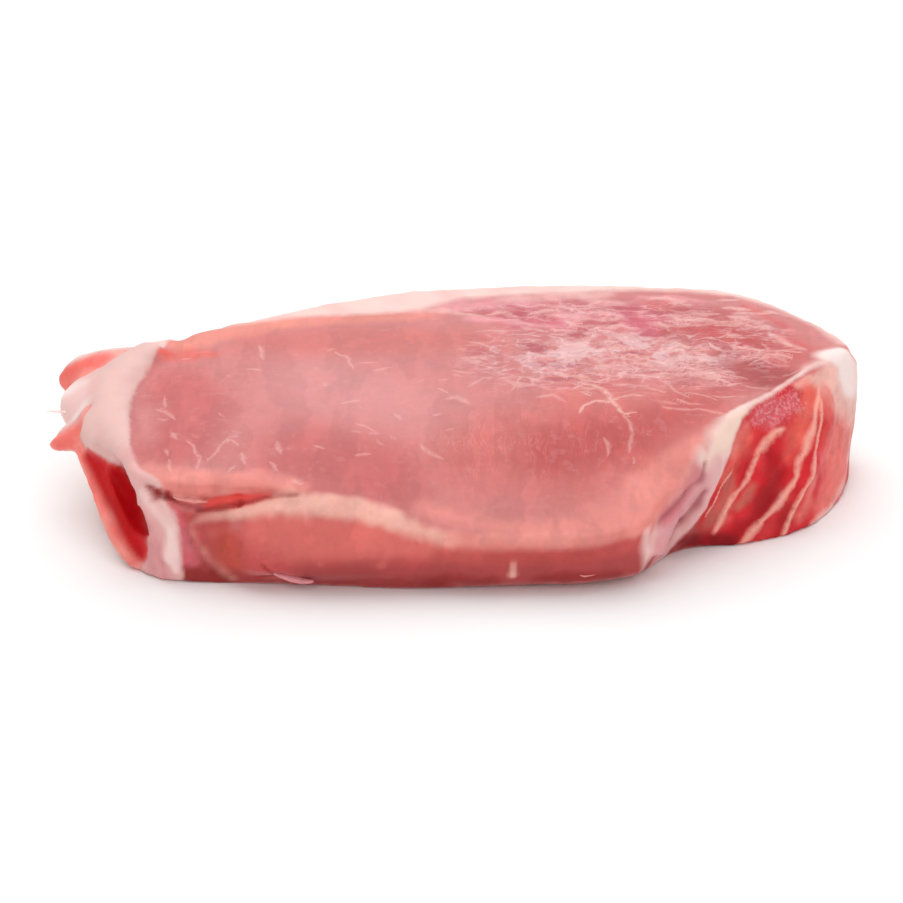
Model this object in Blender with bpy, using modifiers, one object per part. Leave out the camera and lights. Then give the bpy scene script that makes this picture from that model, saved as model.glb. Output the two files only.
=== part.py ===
"""Boneless raw pork loin chop: one solid of lean meat with the fat that is grown onto it.

Metres, +Z up. The chop lies on its cut face: the origin is under its middle, on the surface that it rests on.
+X runs along its length towards the streaky end, and +Y from the thin front edge towards the fat on its back.
The lists of points give real sizes in millimetres, and MM turns them into metres.
"""

import math

import bmesh
import bpy
from mathutils import Vector

MM = 0.001

# The slab: its thickness in the middle, and how its top falls away towards the rim.
MIDDLE_HEIGHT = 23.5 * MM
FALL_POWER = 2.0
SLAB_SEGMENTS = 144
WALL_RINGS = 9
FACE_RINGS = 8

# Flesh has no sharp edges: the joined shapes are melted together at this grain, and eased.
GRAIN = 1.0 * MM
EASING_STEPS = 4
EASING = 0.5
# The rough shapes reach this far below the surface that the chop rests on, and are pressed flat on it.
SUNK = 0.6 * MM
RESTING = 0.06 * MM
WELD = 0.01 * MM
TRIANGLES = 10400

LEAN_COLOUR = (0.74, 0.27, 0.26, 1.0)
LEAN_ROUGHNESS = 0.38

# Right round the chop, seen from above and against the clock from the streaky end's corner:
# the foot of the wall (x, y), the rim of the upper face (x, y), that rim's height, and how far the wall swells.
STATIONS = (
    (74.4, 8.0, 73.4, 8.0, 24.5, 0.8),
    (71.6, 17.5, 70.4, 16.5, 24.4, 1.8),
    (59.5, 34.0, 58.0, 32.5, 24.0, 2.4),
    (45.0, 40.5, 45.0, 39.0, 23.6, 2.6),
    (19.0, 42.0, 19.0, 40.3, 23.6, 2.8),
    (-13.0, 38.0, -13.0, 36.3, 23.4, 2.8),
    (-37.0, 27.5, -36.0, 26.3, 23.2, 2.2),
    (-56.0, 15.0, -56.0, 14.6, 23.2, 0.8),
    (-63.5, 9.5, -64.0, 9.8, 22.2, 0.8),
    (-66.5, 0.0, -69.0, 0.5, 21.2, 0.8),
    (-66.5, -11.0, -69.5, -10.5, 20.2, 0.6),
    (-63.5, -24.0, -66.8, -21.0, 19.4, 0.4),
    (-58.5, -34.0, -61.0, -29.5, 18.8, 0.4),
    (-52.0, -39.5, -52.5, -36.2, 18.4, 0.4),
    (-39.0, -40.5, -39.0, -37.8, 18.4, 0.8),
    (-23.0, -41.5, -23.0, -39.2, 17.3, 0.8),
    (-9.0, -42.5, -9.0, -42.0, 13.6, 0.8),
    (5.0, -41.0, 5.0, -44.0, 11.0, 0.8),
    (21.0, -39.0, 21.0, -44.2, 10.8, 0.8),
    (31.5, -36.5, 32.0, -42.0, 12.6, 0.8),
    (36.5, -31.0, 36.2, -35.5, 16.0, 0.6),
    (42.0, -27.0, 42.0, -28.0, 20.5, 0.6),
    (53.0, -25.5, 50.0, -18.5, 23.0, 0.8),
    (65.0, -18.5, 61.0, -7.2, 24.0, 1.0),
    (72.0, -6.0, 69.0, 2.0, 24.5, 1.0),
)

# Rolls of meat and fat that stand out from the slab: x, y, z and radius at each point.
ROLLS = {
    "front_strip": (
        (-41.6, -38.2, 9.4, 3.0),
        (-38.0, -37.4, 8.0, 6.6),
        (-29.0, -36.6, 8.2, 8.4),
        (-17.0, -36.6, 8.0, 8.5),
        (-5.0, -38.2, 6.6, 6.8),
        (9.0, -39.4, 5.8, 5.8),
        (23.0, -39.0, 5.6, 5.4),
        (32.0, -37.2, 4.6, 4.0),
    ),
    "left_fat": (
        (-56.6, 10.4, 20.4, 4.8),
        (-62.5, 2.0, 18.4, 5.6),
        (-63.8, -9.0, 17.4, 5.6),
        (-61.0, -20.0, 16.6, 5.2),
        (-57.0, -28.8, 14.8, 4.2),
        (-53.6, -34.4, 10.6, 3.6),
        (-51.4, -37.4, 3.6, 3.4),
    ),
    "left_fat_end": (
        (-66.6, 5.0, 16.8, 4.4),
        (-70.4, -0.6, 16.2, 4.2),
        (-68.6, -5.6, 15.8, 3.4),
    ),
    "upper_left_strip": (
        (-57.5, 13.8, 20.8, 1.2),
        (-64.0, 12.2, 20.0, 2.2),
        (-70.4, 10.0, 18.4, 3.4),
        (-73.8, 8.6, 17.0, 3.0),
        (-75.6, 7.8, 16.4, 1.8),
    ),
    "left_flap": (
        (-67.0, -5.0, 17.4, 1.6),
        (-69.4, -9.6, 16.0, 2.4),
        (-72.4, -12.8, 14.8, 2.2),
        (-75.2, -14.2, 14.2, 1.2),
    ),
    "left_flap_lip": (
        (-69.4, -11.0, 15.4, 2.4),
        (-67.2, -18.4, 13.8, 2.2),
        (-65.4, -23.6, 11.2, 1.8),
        (-63.6, -27.2, 7.4, 1.8),
        (-61.2, -31.0, 3.8, 1.8),
        (-57.8, -34.6, 1.4, 1.8),
    ),
    "seam_fat": (
        (71.0, 6.8, 21.8, 3.2),
        (63.0, -2.4, 21.4, 3.2),
        (54.0, -11.6, 20.9, 3.4),
        (46.6, -20.0, 19.6, 3.6),
        (41.0, -27.4, 16.6, 3.4),
        (36.6, -33.6, 11.6, 3.2),
        (33.8, -37.0, 5.4, 3.2),
    ),
    "seam_fat_outer": (
        (53.0, -14.8, 18.8, 3.2),
        (48.0, -21.4, 17.0, 2.8),
        (44.2, -25.6, 13.4, 2.6),
        (42.0, -27.4, 8.4, 2.4),
        (41.2, -27.6, 2.6, 2.2),
    ),
    "streaky_bundle": (
        (61.8, -4.4, 20.6, 2.0),
        (59.6, -8.6, 17.6, 4.2),
        (55.8, -14.6, 12.6, 4.9),
        (51.6, -19.2, 7.2, 4.7),
        (48.0, -21.8, 2.6, 4.2),
    ),
    "streaky_bundle_outer": (
        (67.0, 1.6, 20.8, 2.0),
        (65.8, -3.6, 17.2, 4.4),
        (62.6, -11.2, 11.8, 4.9),
        (59.0, -16.2, 6.4, 4.7),
        (55.8, -19.2, 2.6, 4.2),
    ),
    "corner_fat": (
        (72.2, 8.8, 21.6, 3.2),
        (72.6, 7.4, 13.0, 2.8),
        (72.4, 6.4, 5.0, 2.4),
    ),
}

# Furrows that are cut into it, in the same form.
FURROWS = {
    "cleft_under_eye": (
        (-54.6, -36.6, 17.0, 0.9),
        (-51.4, -37.2, 15.9, 1.4),
        (-47.9, -38.0, 15.1, 1.6),
        (-43.0, -38.8, 14.8, 1.6),
        (-36.4, -39.2, 15.8, 1.4),
        (-31.1, -39.6, 16.6, 1.1),
        (-23.8, -40.2, 17.1, 0.7),
    ),
    "cleft_depth": (
        (-51.0, -34.8, 15.2, 1.2),
        (-44.6, -35.6, 14.4, 1.7),
        (-37.0, -36.4, 15.2, 1.5),
        (-29.0, -37.4, 16.2, 0.8),
    ),
    "left_crease": (
        (-66.2, -20.6, 17.8, 1.2),
        (-62.6, -26.6, 16.8, 2.4),
        (-60.4, -30.4, 14.4, 3.0),
        (-58.6, -33.0, 11.2, 3.1),
        (-56.9, -35.4, 8.0, 2.8),
        (-55.2, -37.2, 4.8, 1.6),
    ),
    "left_crease_depth": (
        (-61.4, -23.6, 14.8, 1.8),
        (-58.2, -27.4, 12.6, 2.8),
        (-56.4, -30.2, 9.8, 2.8),
        (-54.8, -33.0, 6.8, 2.2),
    ),
    "behind_front_strip": (
        (-47.8, -40.2, 13.2, 1.6),
        (-47.4, -41.6, 9.0, 2.8),
        (-46.0, -42.6, 4.4, 3.0),
        (-44.6, -43.4, -1.0, 2.8),
    ),
    "fat_corner_notch": (
        (-52.4, 18.6, 23.2, 1.7),
        (-53.4, 14.4, 23.9, 1.4),
        (-54.8, 9.0, 24.8, 0.9),
    ),
    "seam_groove": (
        (49.6, -20.6, 22.2, 1.0),
        (44.2, -28.4, 18.0, 1.2),
        (40.4, -33.2, 12.6, 1.4),
        (37.8, -35.4, 7.0, 1.5),
        (36.8, -36.2, 0.0, 1.6),
    ),
    "streaky_end_notch": (
        (46.8, -28.6, 14.6, 0.9),
        (45.0, -29.6, 9.6, 1.6),
        (43.8, -29.4, 4.0, 2.0),
        (43.4, -29.0, -1.0, 2.2),
    ),
    "between_bundles": (
        (65.6, -12.4, 19.6, 0.8),
        (61.6, -17.6, 13.0, 1.2),
        (57.4, -22.4, 6.6, 1.2),
        (54.0, -25.6, 0.0, 1.1),
    ),
}


def clear_scene():
    """Removes whatever the scene starts with."""
    for obj in list(bpy.data.objects):
        bpy.data.objects.remove(obj, do_unlink=True)


def new_collection(name):
    """A collection in the scene, for one kind of shape."""
    collection = bpy.data.collections.new(name)
    bpy.context.scene.collection.children.link(collection)
    return collection


def closed_curve(rows, share):
    """The row at a share (0 to 1) of the way round a closed Catmull-Rom curve through the rows."""
    place = share * len(rows)
    first = int(place) % len(rows)
    t = place - int(place)
    before, start, end, after = (rows[(first + step) % len(rows)] for step in (-1, 0, 1, 2))
    return [
        0.5 * (2 * b + (c - a) * t + (2 * a - 5 * b + 4 * c - d) * t**2 + (3 * b - a - 3 * c + d) * t**3)
        for a, b, c, d in zip(before, start, end, after)
    ]


def slab_rings():
    """For each ring from the underside to the upper face: how far out it lies and how high, as shares."""
    faces = [step / FACE_RINGS for step in range(1, FACE_RINGS)]
    under = [(reach, 0.0) for reach in faces]
    wall = [(1.0, step / (WALL_RINGS - 1)) for step in range(WALL_RINGS)]
    over = [(reach, 1.0) for reach in reversed(faces)]
    return under + wall + over


def make_slab(collection):
    """The body of the chop: a sphere's net, drawn out to the stations of the foot and the rim."""
    rings = slab_rings()
    mesh = bpy.data.meshes.new("slab")
    net = bmesh.new()
    bmesh.ops.create_uvsphere(net, u_segments=SLAB_SEGMENTS, v_segments=len(rings) + 1, radius=1.0)
    for vert in net.verts:
        latitude = math.asin(max(-1.0, min(1.0, vert.co.z)))
        ring = round((latitude / math.pi + 0.5) * (len(rings) + 1)) - 1
        if ring in (-1, len(rings)):
            vert.co = Vector((0.0, 0.0, -SUNK if ring < 0 else MIDDLE_HEIGHT))
            continue
        reach, rise = rings[ring]
        turn = math.atan2(vert.co.y, vert.co.x) / (2 * math.pi) % 1.0
        foot_x, foot_y, rim_x, rim_y, rim_z, swell = (value * MM for value in closed_curve(STATIONS, turn))
        outline = Vector((foot_x, foot_y, 0.0)).lerp(Vector((rim_x, rim_y, 0.0)), rise)
        outline += outline.normalized() * swell * math.sin(math.pi * rise)
        fall = MIDDLE_HEIGHT + (rim_z - MIDDLE_HEIGHT) * reach**FALL_POWER
        vert.co = Vector((outline.x * reach, outline.y * reach, (fall + SUNK) * rise - SUNK))
    bmesh.ops.recalc_face_normals(net, faces=net.faces)
    net.to_mesh(mesh)
    net.free()
    slab = bpy.data.objects.new("slab", mesh)
    collection.objects.link(slab)
    return slab


def make_roll(name, points, collection):
    """A tapered, round-sided strand along a smooth curve, as a closed mesh."""
    data = bpy.data.curves.new(name, "CURVE")
    data.dimensions = "3D"
    data.bevel_depth = MM
    data.bevel_resolution = 4
    data.resolution_u = 6
    data.use_fill_caps = True
    spline = data.splines.new("BEZIER")
    spline.radius_interpolation = "CARDINAL"
    spline.bezier_points.add(len(points) - 1)
    for knot, (x, y, z, radius) in zip(spline.bezier_points, points):
        knot.co = Vector((x, y, z)) * MM
        knot.radius = radius
        knot.handle_left_type = "AUTO"
        knot.handle_right_type = "AUTO"
    curve = bpy.data.objects.new(name + "_curve", data)
    collection.objects.link(curve)
    return made_solid(curve, name, collection)


def made_solid(source, name, collection):
    """The source as its modifiers leave it, with touching points welded, as a new object in its place."""
    bpy.context.view_layer.update()
    graph = bpy.context.evaluated_depsgraph_get()
    mesh = bpy.data.meshes.new_from_object(source.evaluated_get(graph))
    shape = bmesh.new()
    shape.from_mesh(mesh)
    bmesh.ops.remove_doubles(shape, verts=shape.verts, dist=WELD)
    bmesh.ops.recalc_face_normals(shape, faces=shape.faces)
    shape.to_mesh(mesh)
    shape.free()
    solid = bpy.data.objects.new(name, mesh)
    solid.matrix_world = source.matrix_world
    collection.objects.link(solid)
    bpy.data.objects.remove(source, do_unlink=True)
    return solid


def combine(body, operation, collection):
    """A Boolean of the body with every object in the collection."""
    boolean = body.modifiers.new(operation.lower(), "BOOLEAN")
    boolean.operation = operation
    boolean.operand_type = "COLLECTION"
    boolean.collection = collection
    boolean.solver = "EXACT"


def melt_together(body):
    """One skin over the joined shapes, with the corners between them eased as flesh eases them."""
    remesh = body.modifiers.new("melt", "REMESH")
    remesh.mode = "VOXEL"
    remesh.voxel_size = GRAIN
    ease = body.modifiers.new("ease", "SMOOTH")
    ease.factor = EASING
    ease.iterations = EASING_STEPS


def press_flat(body):
    """Whatever lies on the resting surface or sank below it is pressed flat against it."""
    for vert in body.data.vertices:
        if vert.co.z < RESTING:
            vert.co.z = 0.0


def remove_collection(collection):
    """Takes away shapes that have been joined or cut, and their collection."""
    for obj in list(collection.objects):
        bpy.data.objects.remove(obj, do_unlink=True)
    bpy.data.collections.remove(collection)


def thin_out(body):
    """Fewer triangles where the skin is flat, more where it turns."""
    triangles = sum(len(face.vertices) - 2 for face in body.data.polygons)
    decimate = body.modifiers.new("thin_out", "DECIMATE")
    decimate.ratio = TRIANGLES / triangles
    decimate.use_collapse_triangulate = True


def centre_on_origin(body):
    """Slides the body sideways until the middle of its box is over the origin."""
    for axis in range(2):
        reach = [vert.co[axis] for vert in body.data.vertices]
        middle = (min(reach) + max(reach)) / 2
        for vert in body.data.vertices:
            vert.co[axis] -= middle


def lean_material():
    """Moist, pale pink lean pork."""
    material = bpy.data.materials.new("raw_pork")
    material.use_nodes = True
    shader = material.node_tree.nodes["Principled BSDF"]
    shader.inputs["Base Color"].default_value = LEAN_COLOUR
    shader.inputs["Roughness"].default_value = LEAN_ROUGHNESS
    shader.inputs["Metallic"].default_value = 0.0
    material.diffuse_color = LEAN_COLOUR
    return material


def make_chop():
    """The whole chop, as the one object in its collection."""
    chop_parts = new_collection("raw_pork_chop")
    rolls = new_collection("rolls")
    furrows = new_collection("furrows")
    slab = make_slab(chop_parts)
    for name, points in ROLLS.items():
        make_roll(name, points, rolls)
    for name, points in FURROWS.items():
        make_roll(name, points, furrows)
    combine(slab, "UNION", rolls)
    combine(slab, "DIFFERENCE", furrows)
    melt_together(slab)
    melted = made_solid(slab, "melted", chop_parts)
    remove_collection(rolls)
    remove_collection(furrows)
    press_flat(melted)
    thin_out(melted)
    chop = made_solid(melted, "pork_chop", chop_parts)
    press_flat(chop)
    centre_on_origin(chop)
    chop.data.materials.clear()
    chop.data.materials.append(lean_material())
    chop.data.shade_smooth()


clear_scene()
make_chop()
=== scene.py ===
"""Looks of a boneless raw pork chop, laid out as a Blender add-on and run as a script.

Metres, +Z up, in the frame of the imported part. Places on the meat are given in millimetres, because that is
how its streaks and seams are measured, and MM turns them into metres where they meet the mesh.
"""

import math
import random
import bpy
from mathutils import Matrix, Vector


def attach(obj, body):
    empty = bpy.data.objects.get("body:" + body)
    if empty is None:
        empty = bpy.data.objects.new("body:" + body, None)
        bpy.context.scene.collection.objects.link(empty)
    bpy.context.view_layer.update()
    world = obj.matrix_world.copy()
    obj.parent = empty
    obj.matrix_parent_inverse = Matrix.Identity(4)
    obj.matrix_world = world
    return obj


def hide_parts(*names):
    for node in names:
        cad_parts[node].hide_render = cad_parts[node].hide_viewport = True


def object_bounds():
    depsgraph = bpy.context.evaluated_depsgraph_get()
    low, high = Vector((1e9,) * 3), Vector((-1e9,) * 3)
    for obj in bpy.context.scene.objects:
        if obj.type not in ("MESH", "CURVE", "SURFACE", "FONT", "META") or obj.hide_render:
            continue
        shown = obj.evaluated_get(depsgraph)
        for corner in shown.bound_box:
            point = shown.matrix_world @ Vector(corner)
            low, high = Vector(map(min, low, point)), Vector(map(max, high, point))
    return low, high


bl_info = {
    "name": "Raw pork chop",
    "version": (1, 0, 0),
    "blender": (4, 5, 0),
    "location": "View3D > Sidebar > Pork chop",
    "description": "Dresses the plain solid of a boneless raw pork chop as moist lean meat and fat",
    "category": "Add Mesh",
}

import bmesh
import bpy
import numpy as np
from bpy.props import FloatProperty, FloatVectorProperty, IntProperty, PointerProperty
from mathutils import Matrix, Vector, noise

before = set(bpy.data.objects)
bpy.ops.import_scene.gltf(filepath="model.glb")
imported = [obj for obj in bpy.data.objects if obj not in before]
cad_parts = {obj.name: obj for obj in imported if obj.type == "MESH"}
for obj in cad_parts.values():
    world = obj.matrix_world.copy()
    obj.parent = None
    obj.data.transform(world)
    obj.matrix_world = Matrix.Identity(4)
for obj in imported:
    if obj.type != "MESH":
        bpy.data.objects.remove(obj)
cad_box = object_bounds()

MM = 0.001
CHOP = "pork_chop"
UP = (0.0, 0.0, 1.0)
DOWN = (0.0, 0.0, -1.0)

# The lean eye as seen from above, with the front strip and the streaky end: fat lies outside this line.
LEAN_OUTLINE = (
    (-55, 14.5), (-55.6, 10.5), (-57.1, 4.8), (-59.1, -2.7), (-59.7, -10), (-59.4, -16), (-58.5, -25),
    (-56.6, -30.6), (-54.2, -33.4), (-51.4, -36), (-49.4, -37.6), (-48.6, -39.2), (-48.6, -52), (82, -52),
    (82, 9.6), (74.6, 9.6), (71.8, 10.6), (68.4, 18.9), (61.6, 27.9), (53.9, 34.4), (45.1, 37.4),
    (35.9, 38.2), (27.9, 37.6), (20.2, 36.6), (12.3, 36), (6.4, 35.2), (1, 34.2), (-3.6, 31.4),
    (-6.4, 28.4), (-11, 27.2), (-20.7, 26.6), (-30.4, 25.8), (-36, 24), (-41, 22), (-46, 20.4), (-51, 18),
)

# The streaky muscle on the right-hand wall, as seen from above.
SIDE_OUTLINE = (
    (43.4, -31), (43, -28.4), (43.8, -26.6), (46.6, -24.6), (50, -20.6), (52.6, -15.4), (56.6, -10.4),
    (62, -5.2), (67.4, 0.2), (70.6, 4.2), (72.6, 8.4), (74.6, 10.6), (82, 10.6), (82, -52), (43.4, -52),
)

# Fat that runs over the lean as strands: x, y, z and radius along each.
FAT_STRANDS = {
    "seam_top": (
        (72, 5, 24.2, 1.2), (65.4, -0.2, 24.4, 0.45), (61.1, -5.7, 24.1, 0.45), (57, -10.8, 23.8, 0.45),
        (53.6, -14.2, 23.6, 0.55), (50.2, -18, 22.9, 1.2),
    ),
    "seam": (
        (50.2, -18, 22.9, 1.2), (48.6, -20.6, 22, 2), (47, -23, 20.2, 2.7), (45.4, -25.6, 17.6, 3),
        (43.2, -28.6, 13.4, 3.2), (41, -30.6, 9, 3.4), (38.8, -32.6, 5, 3.6), (37.4, -34, 0, 3.6),
    ),
    "seam_inside": (
        (43.8, -27, 19.4, 1.4), (42.4, -30, 16.8, 1.5), (41, -32.4, 14, 2.1), (37.8, -35.8, 11.2, 2.4),
        (35.6, -38.2, 8.6, 2.2), (35, -38.6, 4, 2.4), (35, -38, 0, 2.5),
    ),
    "tip": ((33.4, -40.3, 10.6, 0.7), (33.6, -39.8, 7.2, 1.1), (33.8, -38.4, 3, 1.4), (34, -37, 0, 1.4)),
    "corner": (
        (69.4, 4.6, 24.4, 2.6), (72.4, 5.4, 22.4, 3.8), (73.6, 5.8, 19.4, 4), (75, 8.4, 16, 3.2),
        (75.4, 9.6, 12, 2), (75.2, 9.2, 8, 2.2), (75, 10.2, 4, 1), (74.8, 9.8, 0, 1.8),
    ),
    "back_left_wall": ((-56, 15, 9.5, 9.2), (-46, 21.6, 9.5, 9.4), (-36, 26, 10, 10.2)),
}

# Where lean fades softly into fat: the seam's inner side, and the back rim.
SOFT_EDGES = (
    ((64, 2, 24.4, 2.6), (68, 9, 24.4, 2.8), (72, 12, 24, 2.4)),
    ((46, -21, 22, 2.6), (42.4, -26.4, 19.4, 2.6), (39.4, -31.6, 16.4, 2.6), (34.6, -37.4, 12, 2.4)),
    ((34.6, -37.4, 12, 2.4), (32.8, -40, 7, 2.2), (33, -38.6, 0, 2.2)),
    ((-50, 20, 22, 3), (-20, 28, 22, 3), (6, 34, 22, 3), (40, 38, 22, 3)),
    ((40, 38, 22, 3), (62, 27, 22, 3), (72, 12, 22, 3)),
    ((69, 1, 22.4, 3), (73.6, 3.6, 17, 4), (75.6, 9, 10, 4.4), (75, 9, 0, 4.4)),
    ((74, 9.6, 21, 3), (75.6, 9.8, 10, 4)),
)

# Raw red meat that lies over the fat at the left: the end of a strip, and the flap with its hollow.
RED_STRANDS = {
    "upper_left_strip": (
        (-61, 12, 23.8, 0.8), (-64, 11.4, 23, 1.5), (-67.6, 9.6, 21.6, 2.6), (-70.8, 7.6, 19.8, 3),
        (-76, 7.2, 18, 3.4),
    ),
    "flap": (
        (-67.6, -10.2, 20.4, 0.9), (-69.4, -12.2, 18.2, 1.7), (-71.6, -13.8, 15.6, 2.4),
        (-76, -14.6, 14, 2.6),
    ),
    "flap_lip": (
        (-70.6, -14.4, 15.4, 2.2), (-67.6, -19.8, 13.8, 2.4), (-65.6, -24.2, 11.2, 2.3),
        (-63.4, -28.4, 7.6, 2.3), (-61, -31.8, 4.4, 2.3), (-58.2, -34.6, 1.6, 2),
    ),
}

# The hollow behind the flap, and its inner edge against the fat, sunk deeper and darkened with painted shadow
# of the fat's overhang.
HOLLOW = (
    (-67.2, -19.6, 15.6, 1.4), (-64.6, -23.2, 14.4, 2.4), (-62.2, -26, 12, 2.9), (-60.2, -28.4, 9.6, 2.9),
    (-58.8, -31, 7.2, 2.7), (-57.6, -33.4, 5, 2.2), (-56.6, -35.2, 3.4, 1.5),
)
HOLLOW_EDGE = (
    (-66, -21, 15.6, 0.6), (-62.3, -23.9, 15, 1.1), (-60.5, -23.6, 13.2, 1.5), (-58.9, -25.2, 11, 1.7),
    (-57.8, -28.2, 8.6, 1.8), (-56.6, -31.6, 6.2, 1.6), (-56, -34.8, 4.2, 1),
)

# Layers over the lean of the eye, in order: colour, cover, softness and height in millimetres, and the
# strand that each fills, given by x, y, z and radius at its knots.
EYE_LAYERS = (
    ("lean_rose", 0.75, 8, 0, ((-52, -2, 22, 6), (-49, -12, 21, 8), (-50, -24, 20.5, 7))),
    ("lean_pale", 0.6, 6, 0, ((-56, -12, 22, 1.6), (-55.6, -22, 21, 1.6))),
    ("lean_rose", 0.65, 12, 0, ((-28, -28, 20, 8), (-14, -32, 18, 8))),
    ("lean_deep", 0.85, 13, 0, ((4, -25, 19, 8), (20, -23, 20, 13), (33, -24, 19, 10))),
    ("lean_deep", 0.75, 10, 0, ((26, -10, 23, 8), (42, -15, 22, 8))),
    ("lean_dark", 0.6, 8, 0, ((17, -25, 20, 6), (30, -21, 20, 6), (44, -14, 22, 5))),
    ("lean_dark", 0.7, 8, 0, ((46, 14, 24, 3), (57, 14, 24, 6), (63, 6, 24, 5))),
    ("lean_dark", 0.6, 5, 0, ((50, -8, 22.6, 3.6), (60, 1, 23.6, 3.6))),
    ("lean_lilac", 0.75, 9, 0, ((14, 25, 23.6, 7), (28, 26, 23.6, 7), (40, 24, 23.8, 6))),
    ("lean_pale", 0.72, 13, 0, ((-26, -4, 23, 10), (-8, -15, 22.5, 8))),
    ("lean_warm", 0.7, 3, 0, ((-52, 13, 23.4, 3), (-44, 17.6, 23.4, 3.2), (-34, 23, 23.4, 3))),
    ("lean_warm", 0.6, 3, 0, ((-34, 23, 23.4, 3), (-14, 25, 23.4, 2), (-6, 26, 23.5, 1.4))),
    ("lean_deep", 0.72, 9, 0, ((-40, 13, 23.4, 3), (-22, 14, 23.4, 7), (2, 14, 23.4, 5))),
    ("notch_orange", 0.8, 3, 0, ((-54.4, 8.6, 23.4, 2.2), (-50, 8.8, 23.2, 2.2), (-46, 8.6, 23.2, 1))),
    ("skin_pink", 0.65, 3, 0, ((-2, 30.4, 23.5, 2.2), (6, 31.4, 23.5, 2.6), (12, 34, 23.6, 2))),
    ("skin_pink", 0.75, 2, 0.2, ((9, 28.6, 23.5, 1), (14, 30.6, 23.6, 1.6), (19, 27.6, 23.5, 2.2))),
    ("skin_pink", 0.7, 2.4, 0.2, ((19, 27.6, 23.5, 2.2), (24, 24, 23.5, 1.8), (20, 21.2, 23.5, 1.4))),
    ("skin_pale", 0.6, 3, 0.2, ((24, 35.4, 23.6, 1.2), (28, 32.6, 23.6, 1.5), (32, 31.6, 23.5, 0.9))),
    ("skin_pink", 0.6, 1.6, 0.2, ((36, 34.6, 23.6, 0.8), (43, 33.8, 23.8, 1), (50, 31, 23.9, 0.7))),
    ("lean_magenta", 0.9, 3, -0.2,
     ((33.1, 27.3, 23.6, 2.4), (35.1, 22.3, 23.7, 3.2), (36.7, 15.9, 23.7, 1.8))),
    ("skin_pale", 0.7, 3, 0, ((8, 33.6, 23.5, 0.8), (20, 34.8, 23.6, 1.4), (30, 36.4, 23.6, 1))),
    ("skin_pink", 0.75, 1.6, 0.25, ((2, 24, 23.5, 0.8), (10, 22.6, 23.5, 1.1), (18, 19.4, 23.5, 0.9))),
    ("lean_lilac", 0.8, 1.6, -0.2, ((6, 26.6, 23.5, 0.7), (15, 25.2, 23.5, 1), (22, 19.6, 23.5, 0.8))),
    ("skin_pink", 0.7, 1.6, 0.25, ((26, 28.6, 23.6, 0.8), (31, 24.6, 23.6, 1.1), (31.6, 19.6, 23.6, 0.7))),
    ("lean_rose", 0.75, 1.8, -0.2, ((38, 32, 23.7, 0.9), (46, 30.4, 23.8, 1.1), (54, 26, 23.9, 0.9))),
    ("skin_pale", 0.6, 1.4, 0.25, ((41, 24, 23.7, 0.5), (46, 22.6, 23.8, 0.7), (51, 20.8, 23.9, 0.5))),
    ("lean_rose", 0.8, 4, 0, ((39.4, 29.1, 23.6, 2.2), (44.1, 26.8, 23.8, 2.6), (50, 24, 23.9, 2.4))),
    ("lean_dark", 0.8, 3.4, 0, ((39.5, 16.8, 23.8, 1.4), (44.4, 18.6, 23.8, 2.2), (50, 17.4, 23.9, 3))),
    ("lean_dark", 0.8, 3.4, 0, ((50, 17.4, 23.9, 3), (54.4, 12.4, 24, 3.2), (56.4, 7, 24, 2.6))),
    ("lean_darkest", 0.95, 4, -0.2, ((50, 4, 24, 3), (54, -1, 24, 4.4), (59, -5, 24.1, 4.6))),
    ("rim_blood", 0.7, 1.2, 0, ((55.6, 29, 24, 0.7), (59.6, 23.6, 24.1, 0.9), (63, 18.2, 24.2, 0.6))),
    ("rim_blood", 0.6, 1.2, 0, ((61, 13.6, 24.2, 0.5), (64.6, 11, 24.3, 0.8), (66.6, 6, 24.4, 0.5))),
    ("skin_pale", 0.6, 1.8, 0.2, ((54, 24, 24, 0.4), (57.4, 21.4, 24, 0.8), (60.6, 17, 24.1, 0.5))),
    ("skin_pale", 0.6, 1.8, 0.2, ((59.4, 15.6, 24.1, 0.5), (62.4, 10.4, 24.2, 0.8), (65, 7.6, 24.3, 0.4))),
    ("skin_pale", 0.55, 2, 0.2, ((-13, 27.4, 23.4, 0.4), (-3.3, 28, 23.5, 0.9), (2.5, 26, 23.5, 0.6))),
    ("skin_pale", 0.45, 2, 0.2, ((2.5, 26, 23.5, 0.6), (8.3, 24.5, 23.5, 0.3))),
    # Painted highlight along the lit rounded front rim of the eye.
    ("lip_highlight", 0.75, 4, 0, ((-6, -38.6, 14.4, 1.6), (6, -41, 12.2, 1.8), (18, -41.6, 12, 2))),
    ("lip_highlight", 0.7, 6, 0, ((18, -41.4, 12, 2), (28, -39.6, 13.2, 3.6), (34, -34, 16.4, 3.6))),
    ("lip_highlight", 0.7, 3, 0, ((34, -34, 16.4, 4), (38.6, -29.4, 19, 3.2), (43, -24.6, 21.4, 1.6))),
    ("lip_highlight", 0.8, 3, 0, ((-55, -31.4, 18.8, 1.4), (-52, -33.6, 18, 2), (-45, -34.8, 18, 2.2))),
    ("lip_highlight", 0.8, 3, 0.2, ((-45, -34.8, 18, 2.2), (-36, -35.9, 18.3, 2), (-27, -37.4, 18.2, 1.2))),
    ("rim_orange", 0.45, 2, 0, ((-44, -35.4, 17.4, 0.9), (-34, -36.6, 18, 0.9))),
)

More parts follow.
